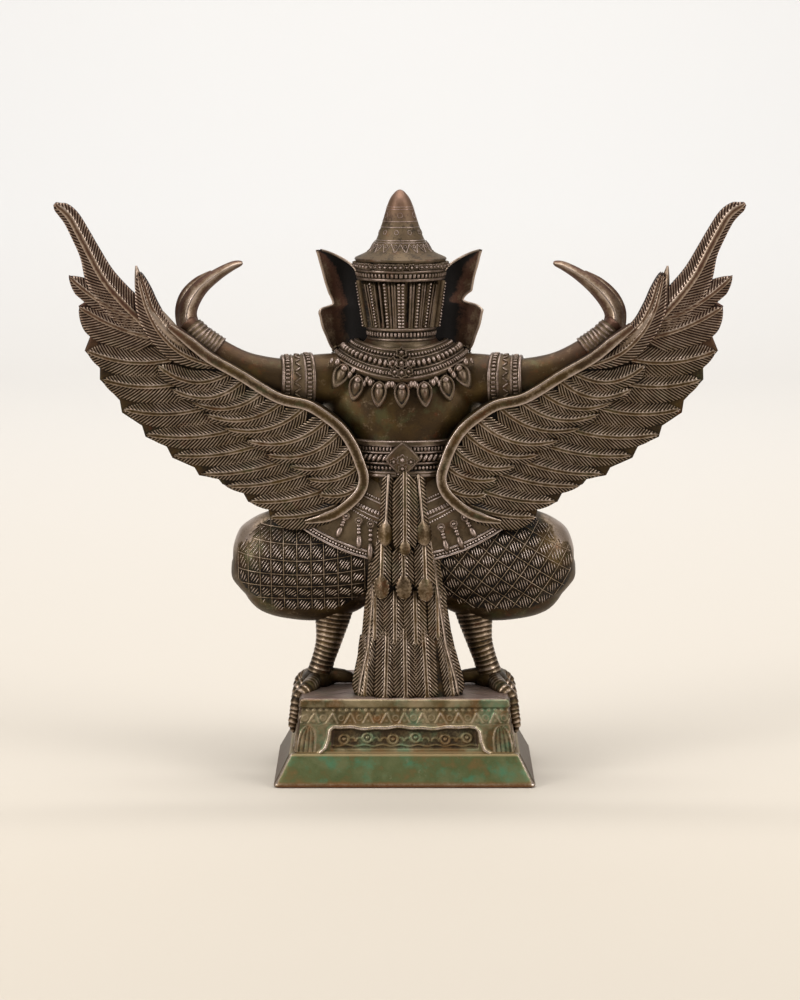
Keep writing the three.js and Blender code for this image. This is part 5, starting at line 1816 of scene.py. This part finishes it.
# The cup is the same curve at every height. Only its edges follow the leaf's outline. The right flare's
# notch lies higher and its upper lobe further in.
def flare(side):
    rows = smooth_rows(FLARE, FLARE_STEPS)
    z, inner, outer = (rows[:, i, None] for i in range(3))
    z = z + NOTCH_RISE[side] * hump(z - 241, 26)
    outer = outer - LOBE_DRAW[side] * soft_step(z, 246, 262)
    outer = outer - NOTCH_DEEPER[side] * hump(z - NOTCH_Z - NOTCH_RISE[side], NOTCH_HALF)
    across = np.linspace(0, 1, CUP_STEPS)
    x = inner + (outer - inner) * across
    y = FLARE_FLOOR + FLARE_CURVE * (x - FLARE_MIDDLE) ** 2
    edge_y = y[:, -1:]
    ring_x = np.concatenate([x, outer + 0.5, outer + 0.9, outer + 0.5, x[:, ::-1]], 1)
    behind = y[:, ::-1] - FLARE_THICKNESS
    ring_y = np.concatenate([y, edge_y + 0.3, edge_y - 0.9, edge_y - 2.4, behind], 1)
    cup = CUP_RELIEF + CUP_RISE * soft_step(across, 0.15, 0.95)
    tone = np.concatenate([cup, [0.85, 0.95, 0.7], np.full(CUP_STEPS, 0.5)])
    leaf_shape = loft(at(side * ring_x, ring_y, z), tone)
    edge, top = slice(6, FLARE_STEPS - 3), slice(104, FLARE_STEPS - 3)
    rims = [at(side * outer[edge, 0], edge_y[edge, 0] + 0.2, z[edge, 0])]
    rims.append(at(side * (inner[top, 0] + 0.3), y[top, 0] - 0.4, z[top, 0]))
    return join([leaf_shape, cord(rims, RIM_RADIUS, 0.8)])


def diadem():
    made = []
    last = DIADEM_LEAVES // 2
    for i in range(-last, last + 1):
        turn = i * DIADEM_TURN
        a = math.radians(turn)
        tall = 16 - abs(turn) / 9 - (8 if abs(i) == last else 0)
        base = at(DIADEM_RADIUS * math.sin(a), -DIADEM_RADIUS * math.cos(a) - 3, DIADEM_Z)
        out, up = np.array([math.sin(a), -math.cos(a), 0]), np.array([0.0, 0.0, 1.0])
        made.append(set_out([base + up * 0.4 * (tall + 6) * MM], out, up, (tall + 9, 16, 7), bud, 0))
    return join(made)


flares = join([flare(side) for side in SIDES])
diadem_piece = diadem()
tell("ear flares", flares)
tell("diadem", diadem_piece)

# %% [markdown]
# The front is not seen in the photo. A garuda has a bird's face: a strong hooked beak over a short lower
# one, round eyes in heavy rims, thick brows and full cheeks. They are melted together like the body.

# %% Face
UPPER_BEAK = [
    (-20, 246, 11, 9),
    (-36, 246, 8.5, 7.5),
    (-47, 242, 5, 5),
    (-51.5, 234, 2.4, 2.6),
    (-51, 228.5, 0.6, 0.6),
]
LOWER_BEAK = [
    (-20, 234, 9, 5.5),
    (-34, 232.5, 6, 3.6),
    (-44, 232.5, 1.8, 1.4),
]
BROW = [
    (3, -31.5, 254.5, 1.8, 1.8),
    (10, -32, 258, 2.8, 2.6),
    (20, -24, 258.5, 1.4, 1.4),
]


def beak(rows, steps=40, sides=24):
    rows = smooth_rows(rows, steps)
    run = np.gradient(rows[:, :2], axis=0)
    run /= np.linalg.norm(run, axis=1, keepdims=True)
    c, s = superellipse(sides)
    x = rows[:, 2, None] * c
    y = rows[:, 0, None] - run[:, 1, None] * rows[:, 3, None] * s
    z = rows[:, 1, None] + run[:, 0, None] * rows[:, 3, None] * s
    return loft(at(x, y, z))


def face():
    soft = [ball([0, -8, 240], [25, 21, 21], 1, 36), ball([0, -9, 226], [18, 16, 12], 1, 30)]
    soft += [beak(UPPER_BEAK), beak(LOWER_BEAK)]
    for side in SIDES:
        soft += [ball([15.5, -20, 240.5], [7, 8, 8], side), limb(BROW, side, 16, 30)]
        soft.append(ball([11, -26, 250.5], [6.4, 4, 5.4], side))
    skin = melted(soft, 0.75, 4, 0.6)
    eyes = [ball([11.4, -28.6, 250.6], [3.6, 3.2, 3.4], side, 20, 0.6) for side in SIDES]
    return join([skin, *eyes])


head_piece = face()
tell("face", head_piece)

# %% [markdown]
# Round the plinth's block run a plain moulding, a row of dots over pointed triangles, and a sunk panel of
# ring rosettes under a wavy lintel, all soft from wear. Modelled one by one they would have hard seams, so
# the carving is a height for every point of a side, worked out from how far each line is away.

# %% Plinth carving
PANEL_CUT = 2.4
CORNICE_Z = 29.5
CORNICE_RISE = 1.3
FLAT_RELIEF = 0.42
TOOTH_PITCH = 11.9
TOOTH_TOP, TOOTH_RISE = 25.8, 1.75
LINTEL_Z = 16.6


def to_polyline(u, z, corners):
    nearest = np.full(u.shape, 1e9)
    for (u0, z0), (u1, z1) in zip(corners, corners[1:]):
        du, dz = u1 - u0, z1 - z0
        t = np.clip(((u - u0) * du + (z - z0) * dz) / (du * du + dz * dz), 0, 1)
        nearest = np.minimum(nearest, np.hypot(u - u0 - t * du, z - z0 - t * dz))
    return nearest


# The moulding under the block's top, from 0 below its edge to 1 above it.
def cornice(z):
    return soft_step(z, CORNICE_Z - 0.5, CORNICE_Z + 0.5)


# The band of pointed triangles with a bead in each, rings between them and a row of dots above.
def toothed_band(u, z):
    aside = np.abs((u / TOOTH_PITCH + 0.5) % 1 - 0.5) * TOOTH_PITCH
    line = np.abs(z - TOOTH_TOP + TOOTH_RISE * aside) / math.hypot(1, TOOTH_RISE)
    tooth = hump(line, 0.8) * (z > 19.3) * (z < TOOTH_TOP + 0.6)
    bead_inside = hump(np.hypot(aside, z - 20.9), 1.2) * 0.7
    between = np.hypot(aside - TOOTH_PITCH / 2, z - 22.8)
    ring = hump(between - 1.7, 0.7) * 0.8 + hump(between, 0.8) * 0.6
    dots = hump(np.hypot((u + 2.1) % 4.3 - 2.15, (z - 27.7) * 0.9), 1.3)
    return np.maximum(np.maximum(tooth, bead_inside), np.maximum(ring, dots))


# Ring rosettes with small arcs between them over a wavy line.
def rosettes(u, z, centres):
    carved = 0.7 * hump(z - 4.7 - 0.5 * np.sin(u * 0.55), 0.7)
    for i, centre in enumerate(centres):
        away = np.hypot(u - centre, z - 9.2 - 0.5 * (-1) ** i)
        carved = np.maximum(carved, np.maximum(hump(away - 2.9, 0.85), 1.1 * hump(away, 1.4)))
    for first, second in zip(centres, centres[1:]):
        for share in (0.33, 0.67):
            away = np.hypot(u - first - (second - first) * share, z - 7.4)
            carved = np.maximum(carved, 0.8 * hump(away - 2.3, 0.7) * (z > 7.2))
    return carved


# How far one carved side stands out at a place u along it and z above the foot, and its relief, which
# has a painted shadow just under the lintel and just under the cornice.
def side_carving(u, z, half, panel_half, centres):
    band = toothed_band(u, z)
    sag = 0.5 * np.sin(u * 0.16 + 1) + 0.3 * np.sin(u * 0.41)
    ends = [(2.5, 14.5), (3, 8), (4.5, 3), (7.5, 0.8)]
    corners = [(0, LINTEL_Z), (panel_half, LINTEL_Z), *((panel_half + du, dz) for du, dz in ends)]
    lintel = to_polyline(np.abs(u), z - sag, corners)
    beam = hump(lintel, 1.7)
    lined = hump(z - 18.6 - sag, 0.5) * (np.abs(u) < half - 2)
    sunk = soft_step(panel_half + 1 - np.abs(u), 0, 1.2) * soft_step(z, 2.6, 3.6)
    sunk = sunk * soft_step(LINTEL_Z - 1 - z + sag, 0, 0.8)
    carved = rosettes(u, z, centres)
    leaf_half = 5.8 * np.sqrt(np.clip(1 - (np.maximum(z - 5, 0) / 13) ** 2, 0, 1)) * (z > 0.8)
    aside = np.abs(np.abs(u) - half + 6.8)
    groove = 0.5 + 0.5 * np.cos(aside / np.maximum(leaf_half, 1) * 4 * np.pi)
    corner = soft_step(leaf_half - aside, 0, 0.7)
    rim = hump(aside - leaf_half, 0.8) * (z > 0.8) * (z < 18)
    out = CORNICE_RISE * cornice(z) + 0.75 * band + 1.4 * beam + 0.5 * lined
    out = out - PANEL_CUT * sunk * (1 - 0.5 * carved)
    out = out + 0.6 * corner * groove + 0.6 * rim
    toothed = soft_step(z, 18.6, 19.2) * (1 - soft_step(z, 28.4, 29))
    tone = FLAT_RELIEF - 0.16 * toothed + 0.6 * band + 0.5 * beam + 0.25 * lined
    tone = tone - 0.3 * sunk * (1 - 1.7 * carved)
    tone = tone + corner * (groove - 0.6) * 0.6 + 0.4 * rim + 0.1 * cornice(z)
    # Painted shadow: the tone is darkened in a band just under the lintel and in another just under the
    # cornice.
    shadow_under_lintel = hump(z - LINTEL_Z + 2.2 - sag, 0.8) * (np.abs(u) < panel_half)
    return out, np.clip(tone - 0.25 * shadow_under_lintel - 0.25 * hump(z - CORNICE_Z + 0.9, 0.7), 0, 1)


print("carving up to", CORNICE_RISE, "mm proud and", PANEL_CUT, "mm deep")

# %% [markdown]
# The plinth is a sloping foot under an upright block. One loft of fine rings carries the carving round the
# block's four sides, and another makes the foot, whose edges waver a little as in any casting.

# %% Plinth
FOOT_WIDTH = 165
FOOT_DEPTH = round(PLINTH_DEPTH, 3)
FOOT_HEIGHT = 20
FOOT_ROWS = [
    (1.4, 0),
    (0.3, 0.7),
    (0, 1.6),
    (0.1, 2.5),
    (0.7, 3.4),
    (8.7, 18.4),
    (9.3, 19.6),
    (10.2, 20.1),
    (13, 20.1),
]
BLOCK_DEPTH = 100
FACE_BATTER = 4
PANEL_HALF = 46
PANEL_SIDE_HALF = 29
LONG_FLOWERS = (-40, -26, -7, 7.5, 24, 39)
END_FLOWERS = (-22, -7.5, 7, 22)
GRAIN = 0.7
TOP_WAVES = 0.5


def plinth_block():
    top = np.linspace(BLOCK_HEIGHT - 1.4, BLOCK_HEIGHT, 6)
    heights = np.concatenate([np.arange(-1, BLOCK_HEIGHT - 1.5, 0.5), top])
    across, deep = BLOCK_WIDTH / 2, BLOCK_DEPTH / 2
    columns, tones = [], []
    for turns in range(4):
        facing_end = turns % 2
        half, away = (deep, across) if facing_end else (across, deep)
        lean_in, lean_along = (END_BATTER, FACE_BATTER) if facing_end else (FACE_BATTER, END_BATTER)
        panel, centres = (PANEL_SIDE_HALF, END_FLOWERS) if facing_end else (PANEL_HALF, LONG_FLOWERS)
        u = np.linspace(-half, half, int(2 * half / GRAIN) + 1)[:-1]
        u, z = np.meshgrid(u, heights)
        out, tone = side_carving(u, z, half, panel, centres)
        fade = soft_step(half - np.abs(u), 0, 1.5)
        eased = 1.1 * soft_step(z, BLOCK_HEIGHT - 1.6, BLOCK_HEIGHT + 0.1)
        moulding = CORNICE_RISE * cornice(z)
        rounding = 1.2 * (1 - soft_step(half - np.abs(u), 0, 1.8)) ** 2
        reach = away - lean_in / 2 * z / BLOCK_HEIGHT - eased + out * fade - rounding + moulding * (1 - fade)
        slide = u * (1 - (lean_along / 2 * z / BLOCK_HEIGHT + eased) / half)
        slide = slide + np.sign(u) * moulding * (1 - soft_step(half - np.abs(u), 0, 4))
        angle = turns * math.pi / 2
        x = slide * math.cos(angle) + reach * math.sin(angle)
        y = -slide * math.sin(angle) + reach * math.cos(angle)
        columns.append(np.stack([x, y, z + FOOT_HEIGHT], -1) * MM)
        tones.append(np.maximum(tone, 0.95 * (1 - fade)))
    walls, wall_tones = np.concatenate(columns, 1), np.concatenate(tones, 1)
    edge, chance = walls[-1], np.random.default_rng(17)
    inward = []
    for share in (0.97, 0.9, 0.8, 0.68, 0.5, 0.25):
        ring = edge * (share, share, 1)
        waves = np.convolve(np.resize(chance.normal(0, 1, 90), len(edge) + 8), np.ones(9) / 9, "valid")
        ring[:, 2] += waves * TOP_WAVES * MM
        inward.append(ring)
    flat_tone = np.full((len(inward), len(edge)), FLAT_RELIEF)
    return loft(np.concatenate([walls, inward]), np.concatenate([wall_tones, flat_tone]))


def even_steps(rows, each):
    rows = np.array(rows, float)
    between = rows[:-1, None] + (rows[1:, None] - rows[:-1, None]) * np.arange(each)[:, None] / each
    return np.concatenate([between.reshape(-1, 2), rows[-1:]])


def plinth_foot():
    rings, tones = [], []
    fine = np.linspace(0, 1, 61)[:-1, None]
    near = np.minimum(np.tile(fine[:, 0], 4), 1 - np.tile(fine[:, 0], 4)) * 140
    chance = np.random.default_rng(21)
    wobble = np.convolve(np.resize(chance.normal(0, 1, 240), 259), np.ones(20) / 20, "valid")
    for inset, z in even_steps(FOOT_ROWS, 5):
        across, half = FOOT_WIDTH / 2 - inset, FOOT_DEPTH / 2 - inset
        corners = np.array([(across, -half), (across, half), (-across, half), (-across, -half)])
        ring = np.concatenate([a + (b - a) * fine for a, b in zip(corners, np.roll(corners, -1, 0))])
        pull = 1.4 * np.clip(1 - near / 4, 0, 1) ** 2
        ring = ring * (1 - (pull / np.linalg.norm(ring, axis=1)))[:, None] * (1 + 0.0022 * wobble)[:, None]
        rings.append(np.column_stack([ring, np.full(len(ring), z)]) * MM)
        tones.append(FLAT_RELIEF + 0.55 * np.clip(1 - near / 2.6, 0, 1) + 0.2 * (z < 3))
    return loft(np.array(rings), np.clip(np.array(tones), 0, 1))


plinth_piece = join([plinth_block(), plinth_foot()])
tell("plinth", plinth_piece)

# %% [markdown]
# Old bronze has layers. The metal is brown with a touch of copper. Over it lies a thin patina, olive and
# ochre in patches with some rust red. Wax, dirt and dust fill the grooves, and hands rub the edges bright.
# Each layer is one colour and where it lies: on a source, from a start to a full value, up to an amount.
# The plinth has stood in the damp, so its slope is green. All patterns are set in real millimetres.

# %% Layers of patina
# The noises: size in millimetres, detail and roughness.
NOISES = {
    "broad": (34, 2.0, 0.5),
    "patches": (16, 5.0, 0.55),
    "spots": (9, 5.0, 0.65),
    "speckles": (15, 5.0, 0.6),
    "middling": (7, 4.0, 0.55),
    "fine": (1.3, 4.0, 0.55),
}
# Even a groove full of dirt keeps this much of the metal's gloss, so it looks deep and black, not grey.
LEAST_METAL = 0.66
BRONZE_BROWN, DUSTY_BROWN, GREEN_BROWN = "33240f", "3b2d1c", "4a4228"
DARK_PATINA = [
    ("3f2d12", "broad", 0.42, 0.6, 1),
    ("55431c", "patches", 0.5, 0.68, 0.5),
    ("5e2f14", "spots", 0.57, 0.69, 0.45),
    ("4f5c3c", "speckles", 0.56, 0.68, 0.3),
    ("5a3c31", "height", 0.262, 0.296, 0.8),
    ("0b0604", "wear_and_shade", 0.36, 0.12, 1),
    ("84715a", "wear_and_shade", 0.47, 0.66, 0.85),
    ("a89688", "wear_and_shade", 0.62, 0.78, 0.9),
    ("c8b8b2", "wear_and_shade", 0.84, 1.0, 0.9),
]
DUSTY_PATINA = [
    ("4a3e2b", "broad", 0.42, 0.6, 1),
    ("6f5f4a", "patches", 0.46, 0.62, 0.6),
    ("6a3a1c", "spots", 0.57, 0.68, 0.4),
    ("665540", "wear_and_shade", 0.42, 0.24, 0.55),
    ("0f0905", "wear_and_shade", 0.22, 0.06, 1),
    ("75645a", "wear_and_shade", 0.48, 0.7, 0.8),
    ("98877f", "wear_and_shade", 0.66, 0.84, 0.9),
    ("c8b8b2", "wear_and_shade", 0.84, 1.0, 0.9),
    ("86604f", "height", 0.35, 0.369, 0.5),
]
PLINTH_PATINA = [
    ("6c6042", "broad", 0.42, 0.6, 1),
    ("9a8a6c", "patches", 0.46, 0.62, 0.65),
    ("7d4a22", "spots", 0.57, 0.69, 0.55),
    ("45552f", "height", 0.0215, 0.0185, 0.75),
    ("33765a", "speckles", 0.53, 0.68, 0.55),
    ("74502c", "patches", 0.48, 0.38, 0.5),
    ("6d3c1e", "height", 0.0045, 0.0022, 0.75),
    ("a08a66", "edge", 0.0, 1.0, 0.6),
    ("84706a", "height", 0.0541, 0.0549, 0.8),
    ("4a342a", "sideways", 0.45, 0.7, 0.8),
    ("2b2013", "wear_and_shade", 0.34, 0.06, 0.9),
    ("94846c", "wear_and_shade", 0.5, 0.75, 0.75),
    ("c8b8b0", "wear_and_shade", 0.78, 0.95, 0.9),
]
print("layers:", len(DARK_PATINA), len(DUSTY_PATINA), len(PLINTH_PATINA), "from", len(NOISES), "noises")

# %% [markdown]
# The shader makes one value of wear and painted shade: the relief, broken up by noise, and less in hollows
# that ambient occlusion finds, where no hand reaches and where shade falls, so they get dirt and painted
# shade. The layers lie over each other by it. Wear also makes the metal smoother and brighter, and dirt
# and the painted shade leave it rough and dull.

# %% Bronze
# Turns sRGB hex into linear colour.
def linear(text):
    values = [int(text[i : i + 2], 16) / 255 for i in (0, 2, 4)]
    return (*(v / 12.92 if v < 0.04045 else ((v + 0.055) / 1.055) ** 2.4 for v in values), 1.0)


def cast_bronze(material, base, layers):
    material.use_nodes = True
    tree = material.node_tree
    shader = tree.nodes["Principled BSDF"]
    where = add(tree, "ShaderNodeTexCoord").outputs["Object"]
    height = add(tree, "ShaderNodeSeparateXYZ", inputs={"Vector": where}).outputs["Z"]
    facing = add(tree, "ShaderNodeNewGeometry").outputs["Normal"]
    aside = add(tree, "ShaderNodeSeparateXYZ", inputs={"Vector": facing}).outputs["X"]
    off_edge = {0: height, 1: FOOT_HEIGHT * MM, 2: 1.3 * MM}
    edge = add(tree, "ShaderNodeMath", {"operation": "COMPARE"}, off_edge)
    sideways = add(tree, "ShaderNodeMath", {"operation": "ABSOLUTE"}, {0: aside})
    sources = {"height": height, "edge": edge.outputs[0], "sideways": sideways.outputs[0]}
    for name, (size, detail, rough) in NOISES.items():
        given = {"Vector": where, "Scale": 1 / (size * MM), "Detail": detail, "Roughness": rough}
        sources[name] = add(tree, "ShaderNodeTexNoise", inputs=given).outputs["Fac"]
    relief = add(tree, "ShaderNodeAttribute", {"attribute_name": "relief"}).outputs["Fac"]
    multiply_add = {"operation": "MULTIPLY_ADD"}
    blotched = add(tree, "ShaderNodeMath", multiply_add, {0: sources["middling"], 1: 0.5, 2: relief})
    grained = add(tree, "ShaderNodeMath", multiply_add, {0: sources["fine"], 1: 0.35, 2: blotched.outputs[0]})
    centred = add(tree, "ShaderNodeMath", {"operation": "SUBTRACT"}, {0: grained.outputs[0], 1: 0.425})
    # Painted shade: ambient occlusion lowers the wear in hollows and between parts, so the colour goes dark
    # there.
    occlusion_shade = add(tree, "ShaderNodeAmbientOcclusion", {"samples": 6}, {"Distance": 5 * MM}).outputs["AO"]
    reach = {"Value": occlusion_shade, "From Min": 0.25, "From Max": 0.85, "To Min": 0.6, "To Max": 1.0}
    reached_by_hands_and_light = add(tree, "ShaderNodeMapRange", inputs=reach).outputs["Result"]
    wear_and_shade_value = add(tree, "ShaderNodeMath", {"operation": "MULTIPLY"}, {0: centred.outputs[0], 1: reached_by_hands_and_light})
    sources["wear_and_shade"] = wear_and_shade_value.outputs[0]
    colour = linear(base)
    for tint, source, start, full, amount in layers:
        given = {"Value": sources[source], "From Min": start, "From Max": full, "To Max": amount}
        mask = add(tree, "ShaderNodeMapRange", inputs=given).outputs["Result"]
        layer = add(tree, "ShaderNodeMixRGB", inputs={"Fac": mask, "Color1": colour, "Color2": linear(tint)})
        colour = layer.outputs["Color"]
    tree.links.new(colour, shader.inputs["Base Color"])
    metal = add(tree, "ShaderNodeMath", multiply_add, {0: sources["wear_and_shade"], 1: 0.55, 2: 0.35})
    least = add(tree, "ShaderNodeMath", {"operation": "MAXIMUM"}, {0: metal.outputs[0], 1: LEAST_METAL})
    tree.links.new(least.outputs[0], shader.inputs["Metallic"])
    smooth = add(tree, "ShaderNodeMath", multiply_add, {0: sources["wear_and_shade"], 1: -0.45, 2: 0.56})
    rough = add(tree, "ShaderNodeMath", multiply_add, {0: sources["middling"], 1: 0.22, 2: smooth.outputs[0]})
    tree.links.new(rough.outputs[0], shader.inputs["Roughness"])
    bumps = {"Height": sources["fine"], "Strength": 0.35, "Distance": 0.25 * MM}
    tree.links.new(add(tree, "ShaderNodeBump", inputs=bumps).outputs["Normal"], shader.inputs["Normal"])
    return material


cast_bronze(BRONZE, BRONZE_BROWN, DARK_PATINA)
dusty = cast_bronze(bpy.data.materials.new("dusty bronze"), DUSTY_BROWN, DUSTY_PATINA)
green = cast_bronze(bpy.data.materials.new("green bronze"), GREEN_BROWN, PLINTH_PATINA)
print("materials:", BRONZE.name, dusty.name, green.name)

# %% [markdown]
# Each form becomes one mesh that stands for the casting in the frame.

# %% Pieces
def finish_piece(name, shape, material):
    thing = bpy.data.objects.new(name, as_mesh(name, shape))
    thing.data.materials.append(material)
    scene.collection.objects.link(thing)
    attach(thing, "root")
    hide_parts(NODE)
    return thing


RUBBED_PIECES = {
    "body": body_skin,
    "left_wing": wings[1],
    "right_wing": wings[-1],
    "hands": hands,
    "shanks_and_toes": feet,
    "tail": tail_piece,
    "thigh_patterns": thigh_pattern,
    "ear_flares": flares,
    "face": head_piece,
}
DUSTY_PIECES = {
    "arm_bands": arm_bands,
    "skirt": skirt_piece,
    "belt": belt_piece,
    "collar": collar_piece,
    "crown": crown_piece,
    "diadem": diadem_piece,
}
made = [finish_piece(name, shape, BRONZE) for name, shape in RUBBED_PIECES.items()]
made += [finish_piece(name, shape, dusty) for name, shape in DUSTY_PIECES.items()]
made.append(finish_piece("plinth", plinth_piece, green))
print(len(made), "pieces")

# %% [markdown]
# The photo looks at the figure's back from a little above, with a long lens, in a pale studio. A paper
# sweep runs under the figure and curves up behind it. Its colour is painted darker and warmer on the floor
# than on the wall, a painted shade for how the light falls off. Two tall soft boxes and one overhead light
# the figure, and one more lights the wall.

# %% Camera, sweep and lights
VIEW_RISE = math.radians(8)
VIEW_DISTANCE = 2.2
LENS_LENGTH = 123.75
TARGET = Vector((2.9 * MM, 0, 174.8 * MM))
FLOOR_FRONT, FLOOR_BACK = 4.0, -2.4
SWEEP_RADIUS = 1.6
SWEEP_HALF = 6
WALL_TOP = 5.0
# The paper's two colours: darker and warmer on the floor, lighter on the wall, a painted shade for the
# light's fall-off.
PAPER_SHADED_BELOW, PAPER_LIT_ABOVE = "c2baae", "cccccc"
STUDIO_AIR, AIR_STRENGTH = "f4efe6", 0.3
LAMP_COLOUR = (1, 0.98, 0.96)
# Each lamp: where it stands, its width and height, its power and the point that it is turned to.
LAMPS = {
    "left box": ((1.5, 1.1, 0.8), 0.7, 1.5, 26, (0, 0, 0.18)),
    "right box": ((-1.5, 0.9, 0.8), 0.7, 1.5, 20, (0, 0, 0.18)),
    "top box": ((0, 0.3, 1.9), 1.6, 1.2, 24, (0, 0, 0.1)),
    "backdrop box": ((0, -1.2, 3.0), 4.0, 1.5, 146, (0, -3.6, 0.9)),
}


def aimed(thing, where, target):
    thing.location = where
    thing.rotation_euler = (Vector(target) - Vector(where)).to_track_quat("-Z", "Y").to_euler()
    scene.collection.objects.link(thing)
    return thing


lens = bpy.data.cameras.new("camera")
lens.lens = LENS_LENGTH
away = Vector((0, math.cos(VIEW_RISE), math.sin(VIEW_RISE))) * VIEW_DISTANCE
scene.camera = aimed(bpy.data.objects.new("camera", lens), TARGET + away, TARGET)

bend = np.linspace(0.05, math.pi / 2, 24)
profile = [(FLOOR_FRONT, 0), (2.0, 0), (0.0, 0), (FLOOR_BACK, 0)]
for a in bend:
    profile.append((FLOOR_BACK - SWEEP_RADIUS * math.sin(a), SWEEP_RADIUS - SWEEP_RADIUS * math.cos(a)))
profile += [(FLOOR_BACK - SWEEP_RADIUS, WALL_TOP)]
points = [(x, y, z) for y, z in profile for x in (-SWEEP_HALF, SWEEP_HALF)]
faces = [(2 * i, 2 * i + 1, 2 * i + 3, 2 * i + 2) for i in range(len(profile) - 1)]
paper = bpy.data.meshes.new("sweep")
paper.from_pydata(points, [], faces)
paper.shade_smooth()
sweep = bpy.data.objects.new("sweep", paper)
scene.collection.objects.link(sweep)
pale = bpy.data.materials.new("pale paper")
pale.use_nodes = True
paper_shader = pale.node_tree.nodes["Principled BSDF"]
paper_shader.inputs["Roughness"].default_value = 0.9
paper_place = add(pale.node_tree, "ShaderNodeTexCoord").outputs["Object"]
# Painted shade: the paper's colour is graded from the floor up to the wall.
climb = {0: paper_place, 1: (0, -1, 2)}
climbed = add(pale.node_tree, "ShaderNodeVectorMath", {"operation": "DOT_PRODUCT"}, climb).outputs["Value"]
given = {"Value": climbed, "From Min": -0.3, "From Max": 3.5}
share = add(pale.node_tree, "ShaderNodeMapRange", inputs=given).outputs["Result"]
tints = {"Fac": share, "Color1": linear(PAPER_SHADED_BELOW), "Color2": linear(PAPER_LIT_ABOVE)}
paper_shade_colour = add(pale.node_tree, "ShaderNodeMixRGB", inputs=tints).outputs["Color"]
pale.node_tree.links.new(paper_shade_colour, paper_shader.inputs["Base Color"])
paper.materials.append(pale)

world = bpy.data.worlds.new("studio")
scene.world = world
world.use_nodes = True
air = world.node_tree.nodes["Background"]
air.inputs["Color"].default_value = linear(STUDIO_AIR)
air.inputs["Strength"].default_value = AIR_STRENGTH


def soft_box(name, where, wide, high, power, target):
    lamp = bpy.data.lights.new(name, "AREA")
    lamp.shape = "RECTANGLE"
    lamp.size, lamp.size_y, lamp.energy = wide, high, power
    lamp.color = LAMP_COLOUR
    return aimed(bpy.data.objects.new(name, lamp), where, target)


for name, sizes in LAMPS.items():
    soft_box(name, *sizes)
scene.view_settings.view_transform = "Standard"

print("camera, sweep and", len(bpy.data.lights), "lights")
